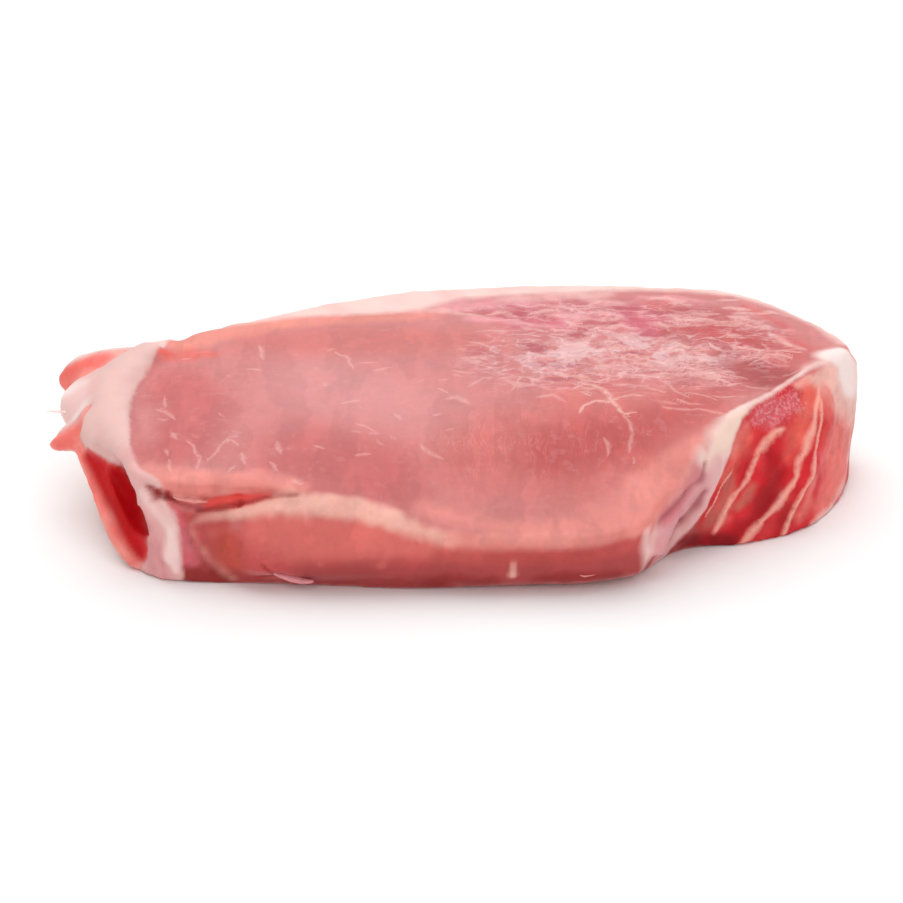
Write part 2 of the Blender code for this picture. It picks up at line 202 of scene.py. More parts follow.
# Layers over the front wall: the thin rim, the cleft under it, the loose strip and the notch beside it.
FRONT_LAYERS = (
    # Painted highlight on the lit edge of the front rim.
    ("lip_highlight", 0.85, 2, 0, ((-53, -34.4, 17.6, 1), (-47, -35.8, 16.8, 1.5), (-41, -36.2, 17, 1.4))),
    ("lip_highlight", 0.8, 2, 0, ((-41, -36.2, 17, 1.4), (-34, -37, 17.8, 0.9))),
    ("flesh_purple", 0.85, 1.4, 0, ((-50.4, -37.2, 13, 1.2), (-48.7, -38, 9, 1.9), (-47.4, -38.8, 5, 2.2))),
    ("flesh_pale", 0.55, 1, 0.2,
     ((-49.9, -37.8, 10.4, 0.4), (-49.2, -38.4, 8, 0.7), (-49.4, -38.8, 5, 0.5))),
    ("flesh_pale", 0.35, 0.8, 0.1, ((-48, -38.3, 9.4, 0.2), (-47.2, -38.8, 6.4, 0.3))),
    # Painted shade where the strip meets the floor.
    ("foot_and_crease_shade", 0.78, 1.6, -0.1,
     ((-49.4, -39, 1.4, 1.4), (-45.6, -39.5, 1.2, 1.9), (-40.6, -40.2, 0.6, 1.3))),
    # The front wall's darker lean, partly its own colour and partly painted shade.
    ("wall", 0.9, 3, 0, ((-34, -42, 9, 5.4), (-16, -43, 9.4, 5), (-4, -44, 7, 3.6))),
    # Painted light on the upper front wall, fading downward.
    ("wall_lit", 0.9, 5, 0, ((-35, -41, 11, 3), (-27, -42.2, 11, 4.6), (-16, -43.2, 11, 3.6))),
    ("wall_lit", 0.8, 4, 0, ((-16, -43, 11.4, 3), (-6, -43.6, 9.6, 2.2), (4, -44, 8.4, 1.2))),
    ("strip_orange", 0.95, 4, 0.2, ((-41, -40.6, 8.4, 2.6), (-40.2, -41.2, 6, 2.8))),
    ("wall_lit", 0.5, 2, 0, ((-43.4, -39.3, 9.6, 0.8), (-38.6, -40.4, 12.2, 1))),
    # Painted shade near the foot of the front wall.
    ("low_wall_shade", 0.8, 4, 0, ((-26, -43.6, 3.6, 3), (-8, -44, 3.6, 3), (14, -44, 4, 3.4))),
    ("low_wall_shade", 0.85, 3, 0, ((14, -44, 4.4, 3), (24, -43.4, 4.4, 3), (31.4, -41.6, 5, 2.6))),
    # Painted shade along the foot of the front wall.
    ("foot_and_crease_shade", 0.75, 2.4, 0, ((-14, -43.6, 0.8, 1.2), (-2, -43.6, 2, 1.6), (6, -43.6, 2, 1.5))),
    ("foot_and_crease_shade", 0.75, 2, 0, ((14, -43.8, 3.2, 1.2), (24, -43.4, 3, 1.8), (28, -42.6, 2.4, 1.4))),
    # Painted highlight on the strip's lit upper edge.
    ("strip_edge_highlight", 0.7, 1.8, 0.2,
     ((-46.4, -38.3, 11.6, 0.4), (-42.4, -38.3, 13.2, 0.8), (-38.2, -38.5, 14, 1.2))),
    ("strip_edge_highlight", 0.9, 2.8, 0.3, ((-38.2, -38.5, 14, 1.3), (-31.1, -39, 15.7, 1.7), (-24, -39.5, 16, 2))),
    ("strip_edge_highlight", 0.9, 2.8, 0.3,
     ((-24, -39.5, 16, 2), (-17, -40.3, 14.9, 1.9), (-11.8, -41.3, 13.6, 1.6))),
    ("strip_edge_highlight", 0.9, 2.2, 0.25,
     ((-11.8, -41.3, 13.6, 1.6), (-6.6, -42.2, 12.1, 1.3), (-1.4, -43.1, 10.8, 1.1))),
    # Painted highlight along the lit edge of the front rim.
    ("lip_edge_highlight", 0.85, 2.2, 0.15,
     ((-1.4, -43.1, 10.8, 1.1), (7.4, -43.2, 10.4, 1.1), (17.9, -43, 10.3, 1.2))),
    ("lip_edge_highlight", 0.75, 2.2, 0.1, ((17.9, -43, 10.3, 1.2), (26, -42.2, 10.6, 1.2), (31, -41, 11.6, 1))),
    ("wall_shadow", 0.6, 2.6, 0, ((-3, -44.2, 8.2, 0.8), (7.4, -44.3, 7.6, 1), (17.9, -44.2, 7.4, 1))),
    ("wall_shadow", 0.6, 2.6, 0, ((17.9, -44.2, 7.4, 1), (26.6, -43.1, 7.6, 1), (31, -42, 8.2, 0.7))),
    # Painted highlight on the lit front rim at its right end.
    ("lip_highlight", 0.85, 3, 0, ((31, -41.4, 11.6, 1.4), (34.2, -38.8, 13, 1.8), (40.4, -31, 17.4, 1.2))),
    # Painted shade at the foot of the streaky end.
    ("side_foot_shade", 0.95, 2, 0, ((45.6, -26, 1, 1.8), (41.6, -27.8, 2.6, 1.9))),
    # A thin painted highlight down the front wall.
    ("strip_edge_highlight", 0.7, 0.9, 0.15, ((9.7, -44.4, 6.8, 0.3), (9.7, -44.3, 4.2, 0.7))),
    # Thin painted highlights down the strip's face.
    ("wall_lit", 0.6, 1.2, 0.1, ((-22.6, -42, 12.6, 0.3), (-24.6, -43, 9, 0.5), (-24, -43.6, 6.4, 0.4))),
    ("wall_lit", 0.6, 1.2, 0.1, ((-30.6, -40.9, 13.6, 0.3), (-33.4, -41.9, 10.6, 0.5))),
    ("wall_lit", 0.5, 1.2, 0, ((-12, -43.4, 9.4, 0.3), (-13.4, -43.8, 6, 0.5))),
    ("cleft_red", 0.95, 1.2, -0.6,
     ((-44, -36.8, 14.5, 0.7), (-41.4, -37, 15.1, 1), (-38.6, -37.2, 15.5, 1))),
    ("cleft_red", 0.9, 1.2, -0.5,
     ((-38.6, -37.2, 15.5, 1), (-36, -37.3, 15.9, 0.8), (-33, -37.6, 16.6, 0.4))),
    # Painted shade in the folds beside the cleft.
    ("fold_shade", 0.8, 0.8, -0.4,
     ((-53.8, -34.9, 16.9, 0.3), (-52.6, -35.7, 15.4, 0.5), (-50.6, -35.9, 15.3, 0.3))),
    ("fold_shade", 0.9, 0.8, -0.4,
     ((-52.8, -35.9, 14.9, 0.5), (-51.4, -35.6, 15.7, 0.6), (-50, -36, 14.9, 0.3))),
    ("fold_shade", 0.6, 0.7, -0.3,
     ((-50, -36, 14.8, 0.3), (-47.6, -36.5, 14, 0.25), (-45.2, -37, 13.7, 0.2))),
    ("fold_shade", 0.65, 0.8, -0.35,
     ((-45.8, -37.2, 13.4, 0.2), (-42.2, -37.4, 13.9, 0.4), (-38.4, -37.6, 14.7, 0.35))),
    ("fold_shade", 0.6, 0.7, -0.3,
     ((-38.4, -37.6, 14.7, 0.3), (-33.6, -37.8, 16.3, 0.3), (-28, -38.2, 17, 0.2))),
    # Painted highlight on the lit lip above the cleft.
    ("lip_edge_highlight", 0.9, 0.8, 0.4,
     ((-50, -35.6, 15.6, 0.3), (-48.4, -35.9, 15.2, 0.6), (-46.6, -36.1, 15.1, 0.6))),
    ("lip_edge_highlight", 0.8, 0.8, 0.3, ((-46.6, -36.1, 15.1, 0.6), (-44.4, -36.3, 15.1, 0.4))),
    # Painted shade in the crease under the strip's lower edge.
    ("foot_and_crease_shade", 0.35, 1.6, -0.5,
     ((-47, -37.9, 11.9, 0.3), (-47.8, -38.2, 10, 0.4), (-47, -38.6, 8, 0.45))),
    ("foot_and_crease_shade", 0.38, 1.6, -0.5,
     ((-47, -38.6, 8, 0.45), (-45.6, -39.2, 4.9, 0.45), (-43.6, -39.6, 2.2, 0.45))),
    ("foot_and_crease_shade", 0.6, 1, -0.4, ((-43.6, -39.6, 2.2, 0.45), (-41.2, -40, 0.2, 0.5))),
    # Painted highlight on the lit edge of the strip's free end.
    ("strip_edge_highlight", 0.45, 1.8, 0.35,
     ((-47, -38.2, 11.2, 0.35), (-46.5, -38.7, 8.8, 0.45), (-45, -39.4, 6.2, 0.5))),
    ("strip_edge_highlight", 0.42, 2.2, 0.35,
     ((-45, -39.4, 6.2, 0.5), (-43, -40.1, 3.6, 0.6), (-40.4, -40.6, 1.2, 0.7))),
    ("strip_edge_highlight", 0.7, 1.2, 0.3, ((-40, -40.8, 1.2, 0.9), (-37.4, -41.4, 0.4, 0.7))),
    # Painted shade in the folds at the strip's foot.
    ("fold_shade", 0.6, 0.9, -0.4,
     ((-33.4, -41, 1.4, 0.4), (-31.4, -42, 3.4, 0.4), (-30.4, -42.4, 2.8, 0.5))),
    ("fold_shade", 0.6, 0.9, -0.4,
     ((-36.4, -41.2, 0.2, 0.4), (-32.6, -41.4, 0.8, 0.6), (-29.6, -42.2, 1.8, 0.5))),
    ("fold_shade", 0.7, 0.7, -0.3, ((22.2, -43.3, 1.2, 0.4), (23.4, -43.2, 1.8, 0.35))),
    ("fold_shade", 0.85, 0.7, -0.3,
     ((-34.3, -43.1, 5.5, 0.3), (-33.3, -42.6, 4, 0.5), (-32, -41.8, 2.8, 0.5))),
    ("fold_shade", 0.85, 0.7, -0.3,
     ((-36.4, -40.9, 1.6, 0.4), (-33.9, -41, 2.2, 0.6), (-32, -41.4, 2.4, 0.4))),
)

# Layers over the wall of the streaky end.
SIDE_LAYERS = (
    ("side_orange", 0.85, 3, 0, ((51.6, -19.4, 19, 1.8), (50, -22, 16.6, 1.6), (48.4, -24.2, 13.6, 1.2))),
    ("corner_pale", 0.25, 2, 0, ((51.6, -18.4, 21.2, 0.9), (50.2, -21, 19.4, 1.1), (49.4, -23, 17.8, 0.8))),
    ("side_brown", 0.85, 3, 0, ((49.4, -23.6, 12.4, 1.4), (47.6, -25, 8, 1.9), (45.2, -26.2, 4.6, 1.5))),
    ("side_brown", 0.8, 1.6, 0, ((53.4, -21.8, 10.6, 0.7), (52.4, -23, 8.8, 1.1), (50.8, -23.9, 7.2, 0.9))),
    ("side_light", 0.45, 2, 0, ((49, -24.7, 5.4, 0.8), (46.2, -25.8, 3.6, 0.8))),
    ("side_light", 0.95, 5, 0, ((70.4, -1.6, 19.6, 3.6), (71.6, -2, 13, 5.6), (71, -5.6, 6.6, 5.4))),
    ("side_light", 0.95, 4, 0, ((71, -5.6, 6.6, 5.4), (69.4, -9, 4, 4), (67, -14, 1.6, 2.2))),
    ("side_light", 0.95, 4, 0, ((74, 5, 14, 5), (75, 6, 6, 5), (74, 5, 0, 4))),
    ("side_light", 0.85, 2, 0, ((65, -15, 8, 1.2), (64.4, -16.6, 5, 1.6), (62.6, -18.6, 3, 1.2))),
    ("side_light", 0.8, 3, 0, ((67.4, -6, 19.4, 1.8), (67.4, -8.4, 15, 1.8), (66.6, -11.8, 11, 1.4))),
    ("side_speckle", 0.6, 1.8, -0.1,
     ((66.2, -13.6, 12.6, 0.7), (67.6, -11, 8.6, 0.9), (68, -11, 5.4, 0.6))),
    ("corner_pale", 0.9, 5, 0, ((69.4, 1, 22, 2.8), (71.6, 0.6, 18, 3.8), (74.4, 4.6, 13, 3))),
    ("corner_pale", 0.85, 2, 0, ((62.6, -5.8, 23, 0.5), (65.6, -2.6, 22.8, 1.2), (68.4, 0.4, 22.6, 2))),
    ("corner_pale", 0.45, 3, 0, ((67.4, -3.4, 21.6, 1.4), (68.6, -4, 17, 1.4))),
    ("side_orange", 0.95, 3.4, 0.1, ((65, -5.6, 21.4, 1.4), (63.4, -9, 19, 2.6), (62, -13.4, 16, 1.8))),
    ("side_orange", 0.6, 2.4, 0, ((61.6, -13.6, 16.4, 1.6), (60, -16.2, 14, 1.2))),
    ("side_speckle", 0.9, 2.4, 0.15,
     ((53.6, -16, 21.4, 1.2), (57, -13.2, 21.2, 2.4), (61.4, -9, 21.4, 1.9))),
    ("side_deep", 0.86, 3, 0, ((56.6, -18, 14.6, 1.4), (57.8, -18.8, 11, 2.2), (55.8, -21.2, 7.2, 2))),
    ("side_deep", 0.95, 3, 0, ((55.8, -21.2, 7.2, 2), (53.4, -23.2, 4.2, 1.8), (49, -25.4, 1.4, 1.8))),
    # Painted shade at the foot of the streaky end.
    ("side_foot_shade", 0.95, 2, 0, ((49.8, -25.4, 0.6, 1.4), (45, -26, 1.4, 2.2), (41.6, -27.8, 2.4, 1.7))),
    ("side_deep", 0.8, 2.4, 0, ((61.4, -18.4, 7.4, 1), (59.2, -20.8, 3.8, 1.3), (58, -21.8, 0.6, 0.9))),
    ("side_deep", 0.7, 1.8, 0, ((53.2, -20, 15.6, 0.6), (51.6, -22.2, 11.6, 0.9))),
    # Painted shade in a fold of the streaky end.
    ("fold_shade", 0.6, 0.8, -0.3,
     ((50.6, -22.4, 15.4, 0.3), (49.6, -23.6, 12.6, 0.4), (48.6, -24.4, 10.4, 0.3))),
    ("fat_white", 0.45, 1.8, 0, ((74.6, 2.8, 8, 0.8), (73, -2.6, 2.6, 0.8), (69.4, -11.4, 0.8, 0.9))),
    ("fat_white", 0.5, 1.2, 0, ((69.4, -11.4, 0.6, 0.8), (65.2, -17.2, 0.4, 0.6))),
)

# Layers over the fat: the left end, the notch and the ridges and lines of the seam.
FAT_LAYERS = (
    ("fat_rosy", 0.9, 8, 0, ((-62, 6, 23, 8), (-66, -6, 20, 9), (-62, -20, 18, 8))),
    ("fat_rosy", 0.9, 4, 0, ((-58, -27, 17.6, 4), (-55, -34, 14, 3))),
    ("fat_bright", 0.85, 4, 0, ((-69.6, -8, 19.6, 2), (-71.4, -3.6, 18.6, 3.4), (-73.4, 0.6, 17.4, 3.4))),
    ("fat_low", 0.9, 5, 0, ((-54, -36.6, 11.6, 2.4), (-53.4, -38, 7, 4), (-53, -38, 1, 4.4))),
    ("fat_pink", 0.65, 4, 0, ((-58, -26, 19, 1.4), (-56.4, -31.4, 17.6, 2), (-54.6, -35, 14.6, 1.6))),
    ("fat_pink", 0.75, 4, 0, ((45, -26, 17, 1), (41.6, -30.6, 10, 3), (38, -34, 4, 4))),
    ("fat_blush", 0.6, 3, 0, ((-68.8, -4.4, 20, 3), (-72, -4, 17.6, 3))),
    ("fat_blush", 0.8, 2.4, 0,
     ((-56.6, -30.2, 18.6, 1.6), (-55.4, -34, 15.6, 1.4), (-53.6, -36.4, 12.6, 1.2))),
    ("fat_pink", 0.45, 1.6, -0.3, ((-55, -36.6, 9.4, 1.2), (-53.6, -38, 6, 1.2), (-54, -37.4, 2.6, 1.4))),
    ("fat_pink", 0.8, 0.9, -0.4,
     ((-56, -34.6, 12.6, 0.3), (-53.8, -37, 9.8, 0.4), (-52.6, -38.4, 6.6, 0.5))),
    ("fat_pink", 0.8, 0.9, -0.4, ((-52.6, -38.4, 6.6, 0.5), (-52.2, -38.8, 3, 0.6), (-52, -38.8, 0, 0.6))),
    # Painted shade in the fold at the left fat's corner.
    ("fold_shade", 0.9, 0.9, -0.4,
     ((-54.6, -34.4, 16.8, 0.2), (-53, -35.4, 15.7, 0.55), (-51.2, -35.8, 15.2, 0.4))),
    ("fold_shade", 0.7, 0.8, -0.3,
     ((-53.6, -35.6, 14.6, 0.25), (-53, -35.4, 15.7, 0.5), (-52, -35.2, 16.6, 0.25))),
    ("fat_white", 0.6, 1.4, 0.6,
     ((-55.2, -34.4, 15.4, 0.6), (-52.6, -36.8, 12.4, 0.6), (-50.4, -38, 9.6, 0.7))),
    ("fat_white", 0.9, 1.5, 0.6, ((-50.4, -38, 9.6, 0.8), (-50.6, -39, 6.6, 1.2), (-50, -39.2, 2.8, 1.1))),
    ("seam_cream", 0.9, 1.6, 0.3,
     ((51.8, -17.3, 22.6, 1.2), (49.2, -20.2, 21.8, 1.7), (46.8, -23.4, 20.4, 1.5))),
    ("seam_cream", 0.85, 1.4, 0.2, ((46.8, -23.4, 20.4, 1.5), (45, -26, 18.8, 0.8), (43.6, -28, 17, 0.5))),
    ("seam_pink", 0.9, 2.4, 0, ((42.6, -29.2, 17, 1.6), (40, -32.6, 14.6, 2.2), (37, -36.4, 11.6, 2.2))),
    ("seam_pink", 0.85, 2.4, 0, ((37, -36.4, 11.6, 2.2), (35.4, -38, 8, 2), (36, -36, 1, 2.6))),
    ("seam_pink", 0.6, 1.6, 0, ((48, -24.6, 16.6, 0.7), (46.4, -26.2, 11.4, 0.8), (43.6, -28, 6.2, 0.9))),
    ("seam_lilac", 0.75, 1.2, 0.35,
     ((41.4, -29.8, 18.2, 0.4), (39.6, -32.4, 16, 0.6), (37.4, -35.2, 13.9, 0.5))),
    ("seam_lilac", 0.9, 1.2, 0.35,
     ((43.8, -28.2, 15.6, 0.6), (41.8, -29.8, 12.8, 0.9), (40, -31.6, 11.2, 0.9))),
    ("seam_lilac", 0.85, 1.2, 0.35,
     ((40, -31.6, 11.2, 0.9), (38.4, -35.2, 11, 0.7), (36.6, -37.2, 9.6, 0.7))),
    ("seam_lilac", 0.8, 1.2, 0.3,
     ((36.6, -37.2, 9.6, 0.7), (35.8, -38.2, 6.6, 0.7), (36.4, -36.4, 2, 0.7))),
    ("seam_white", 0.85, 1.8, 0.4,
     ((46.4, -25.6, 17.4, 0.9), (45.4, -27.1, 14, 1), (43.8, -28.2, 10.4, 1))),
    ("seam_white", 0.75, 1.8, 0.35, ((43.8, -28.2, 10.4, 1), (42, -28.9, 6.6, 0.9), (40, -29, 2.4, 0.8))),
    ("seam_purple", 0.85, 1.2, -0.55,
     ((44, -27.4, 17.8, 0.4), (43.2, -28.8, 15.4, 0.4), (40.4, -32.4, 14.6, 0.4))),
    ("seam_purple", 0.7, 1, -0.4,
     ((40.4, -32.4, 14.6, 0.4), (38, -35.2, 13, 0.4), (35.4, -37.8, 11.2, 0.3))),
    ("seam_purple", 0.9, 1.2, -0.6,
     ((44, -28.1, 12.8, 0.4), (42.2, -29.2, 9.6, 0.5), (40.2, -30.2, 7.4, 0.5))),
    ("seam_purple", 0.8, 1, -0.45,
     ((40.2, -30.2, 7.4, 0.5), (38.4, -31.4, 5.2, 0.5), (36.8, -32.4, 1.4, 0.4))),
    ("fat_white", 0.8, 3, 0, ((34.6, -38.6, 11.6, 1), (33.4, -39.8, 7, 1.2), (33.8, -38.4, 1, 1.4))),
    ("fat_bright", 0.9, 4, 0, ((69.4, 4.6, 24.4, 2.4), (72.4, 5.4, 22.4, 3.4), (73.6, 5, 18.6, 3.4))),
)

# Layers over the red strands and the hollow's rims.
RED_LAYERS = (
    ("flap_orange", 0.55, 2, 0, ((-76, 9, 18.8, 1.2), (-73, 8.4, 19.6, 1.3), (-69.6, 9, 21.2, 0.8))),
    ("flap_orange", 0.4, 2, 0, ((-69, -13.2, 17.8, 0.8), (-68, -18, 14.8, 0.8), (-66, -22, 12.6, 0.6))),
    ("flap_orange", 0.35, 1.6, 0, ((-62, -30, 6.6, 0.6), (-59.6, -33.4, 3.4, 0.8))),
    # Paler flap edges, partly painted highlight on the lit upper edges.
    ("flap_pale_and_highlight", 0.5, 2.4, 0, ((-63, -30, 5.6, 0.8), (-60, -33.4, 2.8, 1.4))),
    ("flap_pale_and_highlight", 0.85, 1, 0.1, ((-75.6, 11, 20.6, 0.5), (-69.6, 11.6, 22.6, 0.6), (-63, 12.8, 24, 0.4))),
    ("flap_pale_and_highlight", 0.7, 1, 0.1, ((-76, 5.6, 17.2, 0.6), (-72.6, 6, 18.4, 0.5))),
    ("flap_pale_and_highlight", 0.8, 0.9, 0.1,
     ((-69.6, -20.6, 12.6, 0.4), (-66.8, -25, 9.4, 0.5), (-64.4, -29.4, 5.8, 0.4))),
    ("flap_pale_and_highlight", 0.7, 1, 0.1, ((-63, -32, 3.6, 0.5), (-59.8, -35, 1.2, 0.7))),
)

# White streaks on the wall of the streaky end: half-width, then x, y and z along each. They are kept in two
# tables, because each point of the skin knows only the nearest stroke of a table.
STREAKS_ONE = (
    (0.7, ((58.8, -14.6, 18.2), (57.4, -15.8, 17.6), (55.8, -16.9, 16.9), (54.2, -18.4, 15.9))),
    (0.45, ((54.2, -18.4, 15.9), (53.4, -20, 14.2), (52.4, -21.6, 11.9), (50.8, -23.1, 10.2))),
    (0.5, ((50.8, -23.1, 10.2), (49.9, -23.9, 9.2), (48.6, -24.7, 7.6), (47.6, -25.3, 5.2),
           (46.6, -25.7, 3.6))),
    (0.36, ((68.2, -3.6, 22.6), (67, -7.2, 20.4), (65.2, -10.2, 18))),
    (0.6, ((65.2, -10.2, 18), (63.9, -13.5, 15.4), (62.2, -16.1, 12.6), (61.6, -17.9, 10.3))),
    (0.5, ((61.6, -17.9, 10.3), (59.8, -19.8, 7.8), (57.2, -21.4, 5.4), (55.6, -22.6, 4))),
    (0.85, ((55.6, -22.6, 4), (54, -23.6, 2.5), (51.4, -24.9, 0.4))),
)
STREAKS_TWO = (
    (0.28, ((67.6, -6.8, 20.4), (66.6, -9.6, 17.8), (65.8, -12, 16.1), (65.2, -14.4, 13.4))),
    (0.46, ((65.2, -14.4, 13.4), (64.8, -16.3, 9.9), (63.4, -17.9, 7.8))),
    (0.62, ((63.4, -17.9, 7.8), (61.6, -19.6, 5.2), (60, -21.1, 1.8), (59, -21.9, 0.2))),
    (0.26, ((49.4, -23.1, 14.2), (47.4, -25.2, 12.2), (45.9, -26.2, 9.2), (44.6, -27, 6.6))),
)
STREAK_TABLES = {"streaks_one": STREAKS_ONE, "streaks_two": STREAKS_TWO}

# The way that this wall faces.
STREAK_FACING = (0.55, -0.8, 0.22)

# The white flecks and strands of fat that show on the upper face: half-width, then x and y along each.
BRANCH = (
    (0.4, ((22.6, -5.2), (25, -6.4), (26.8, -8.6), (27.8, -11.7), (29.3, -14.8), (30.4, -16.8))),
    (0.36, ((27.7, -12.6), (25.2, -12.4), (23, -13.8), (22.2, -15.2))),
    (0.22, ((30.3, -16.7), (32.4, -16.6))),
    (0.22, ((21.6, -7.8), (23.8, -5.9))),
    (0.2, ((27.8, -11.7), (30.2, -10.4))),
)
MARBLING = (
    (0.32, ((30.2, -16.4), (31, -19.4), (31.2, -22.6), (30.6, -25.6))),
    (0.28, ((14.9, -10.6), (17.3, -9.6), (19.8, -12))),
    (0.32, ((13.4, 4.8), (18.5, 6.6), (24.1, 6.4), (27.3, 2.2), (31.8, -0.5))),
    (0.36, ((-53.6, -7.3), (-53.3, -10.7))),
    (0.32, ((-55, -11.6), (-53.2, -12.6), (-51.2, -15.8))),
    (0.55, ((-51.4, -21.2), (-50.6, -22.3))),
    (0.42, ((-52.4, -26.2), (-51.9, -27.6))),
    (0.24, ((-48.2, -24), (-45.9, -28.7), (-46.2, -32.6))),
    (0.25, ((-51.2, -29.1), (-50.5, -32.4))),
    (0.25, ((-41.3, -23.4), (-42.6, -27.2), (-44.4, -30.2))),
    (0.21, ((-41.3, -23.4), (-39, -25.9))),
    (0.38, ((-38.1, -28.6), (-38, -31.4))),
    (0.25, ((-39.5, -32.6), (-40.5, -34))),
    (0.32, ((-39.2, 2.6), (-36.7, 1.8))),
    (0.42, ((-37.8, 11.8), (-36.7, 7))),
    (0.36, ((-22.8, 8.1), (-20.9, 5.9), (-19.2, 1.8))),
    (0.21, ((-18.2, 3.2), (-15.2, 3.9))),
    (0.36, ((-15.4, 0.5), (-12.6, 1.5))),
    (0.38, ((-21, -12.9), (-18, -12.2))),
    (0.36, ((-24.9, -4.3), (-24.2, -5.2))),
    (0.34, ((-17.9, -28.9), (-15.7, -28.6))),
    (0.29, ((-25.3, -26.6), (-23.9, -27.4))),
    (0.45, ((-32.1, -25.4), (-31.7, -28.2))),
    (0.34, ((-32.9, -31.7), (-32.1, -33.1))),
    (0.42, ((-28.8, -36.2), (-26.8, -37), (-24.7, -36))),
    (0.28, ((-17.8, -19.6), (-14.8, -22))),
    (0.32, ((-11.6, -16.5), (-10.6, -18.1))),
    (0.42, ((-1.7, -10.9), (0.1, -10.3), (1.9, -12.1))),
    (0.32, ((-3.5, -7.6), (-1.9, -8.9))),
    (0.46, ((-6, -25), (-4.8, -26.4), (-3.4, -27))),
    (0.28, ((-4.1, -16.4), (-2.8, -15.5))),
    (0.36, ((-0.6, 0.3), (2.7, -0.6))),
    (0.32, ((2.6, -5.8), (4.2, -3.1), (6.4, -3.1))),
    (0.29, ((7.8, -3.2), (10.5, -3.2))),
    (0.28, ((9.7, -7.2), (11.3, -4.3))),
    (0.36, ((2.2, 12.8), (4.8, 11.8), (7.6, 9.2))),
    (0.28, ((13.8, -4.6), (15.6, -4), (15.7, -0.1))),
    (0.21, ((6.2, -28.6), (8.2, -30.8), (8.5, -33.5))),
    (0.42, ((13.6, -36.8), (15.6, -38.6), (17.5, -39.9))),
    (0.32, ((15.8, -34.4), (16.2, -35.4))),
    (0.34, ((26.5, -22.8), (26.9, -26))),
    (0.28, ((24.6, -32.3), (26.1, -35.8), (27.4, -37.4))),
    (0.24, ((-4.6, -36.3), (-2.4, -36.6))),
    (0.21, ((28.8, -31.9), (29.2, -35.6))),
    (0.21, ((31.3, -27.1), (31.7, -31.6))),
    (0.32, ((47.4, 19.9), (53.3, 21.5), (57.7, 17.5))),
    (0.25, ((57.1, 10.6), (58.9, 6.9))),
    (0.25, ((59.7, 15.6), (60.1, 11))),
    (0.28, ((52.2, 8.4), (58.7, 7), (64.3, 7.8))),
    (0.28, ((37.3, -4.5), (40.2, -8.8), (42.3, -11.8))),
    (0.29, ((42.5, -9.5), (46.8, -12.7))),
    (0.34, ((43.8, -16.1), (49, -19.4))),
    (0.29, ((33.5, -6.5), (37.9, -9.4))),
    (0.32, ((37.6, -15.2), (43.6, -16.3))),
    (0.32, ((48.6, -1.5), (53, -4.2))),
    (0.28, ((52.7, -7), (56.2, -9.1))),
    (0.29, ((60.2, -3.4), (63.4, -1.8))),
)

# The speckled cut ends of fibres beside the seam.
SPECKLE = ((53.6, -16.2, 21.2, 1), (57, -13.2, 21.2, 2.2), (62.4, -8.2, 21.4, 1.8))

# The silver skin: where the eye is covered by thin, wrinkled, whitish skin. Its whitish patches are partly
# the skin's own colour and partly a painted sheen of reflected light.
SHEEN = ((16, 6, 23.6, 7), (26, 9, 23.6, 9), (37, 9, 23.8, 9), (46, 5, 24, 6))

# Where the silver skin is wrinkled along the back of the eye.
WRINKLED_BACK = ((6, 28, 23.6, 3), (24, 28, 23.6, 4), (44, 26, 23.8, 4), (59, 16, 24, 3))

# Where the eye shows dark and smooth between the folds of its silver skin.
SMOOTH_PATCHES = (
    ((42, 17.6, 23.8, 1.8), (48, 17, 23.9, 2.4)),
    ((50, 4, 24, 2), (54, -1, 24, 3), (57, -5, 24.1, 3.4), (61, -5, 24.2, 2.4)),
    ((33.1, 27.3, 23.6, 1.8), (35.1, 22.3, 23.7, 2.2), (36.7, 15.9, 23.7, 1.2)),
    ((14, -16, 22, 7), (34, -16, 22, 5)),
)

# The white folds scattered over the silver skin, in zones: share of them all, then middle and spread of x,
# of y and of their heading in degrees, and the range of their length and of their half-width.
FOLDS = (
    (0.72, (38, 15), (3, 9), (-15, 15), (1.8, 6.5), (0.26, 0.5)),
    (0.28, (36, 17), (26, 4), (-8, 10), (3, 9), (0.36, 0.75)),
)

# How the muscle's fibres lie at the streaky end.
SIDE_GRAIN = Vector((0.51, 0.55, 0.66))

# The deeper red middle of the eye's front half, where its fibres show.
FIBRE_ZONE = ((4, -24, 19, 14), (30, -22, 19, 12))

# The skin may stand this far outside the solid's box, in millimetres, so that no lump is cut flat.
PROUD = (0.9, 0.7, 0.45)

# Heights in millimetres: of the upper face, of the strokes on it, and of what counts as the underside.
UPPER_FACE = 22.0
MARBLING_HEIGHT = 21.5
UNDERSIDE_HEIGHT = 3.0
UNDERSIDE_FACING = -0.5

# A distance that is further than any on the chop, and how much of a depth the mesh keeps, in millimetres.
FAR = 1000.0
DEPTH_KEPT = 6.0

# The small flecks scattered over the eye: ranges of x, y, heading in degrees, length, half-width and
# strength, and how far a fleck or fold bends for its length.
FLECK_X = (-56.0, 66.0)
FLECK_Y = (-38.0, 30.0)
FLECK_HEADING = (-75.0, 35.0)
FLECK_LENGTH = (0.4, 1.5)
FLECK_HALF_WIDTH = (0.22, 0.46)
FLECK_STRENGTH = (0.12, 0.40)
FOLD_STRENGTH = (0.35, 0.90)
FLECK_BEND = 0.16
MARBLING_STRENGTH = 0.50
BRANCH_STRENGTH = 0.90

# Soft steps of how squarely the skin faces up or down: where each starts, and where it is full.
LEVEL_STEP = (0.45, 0.85)
WALL_STEP = (0.40, 0.72)

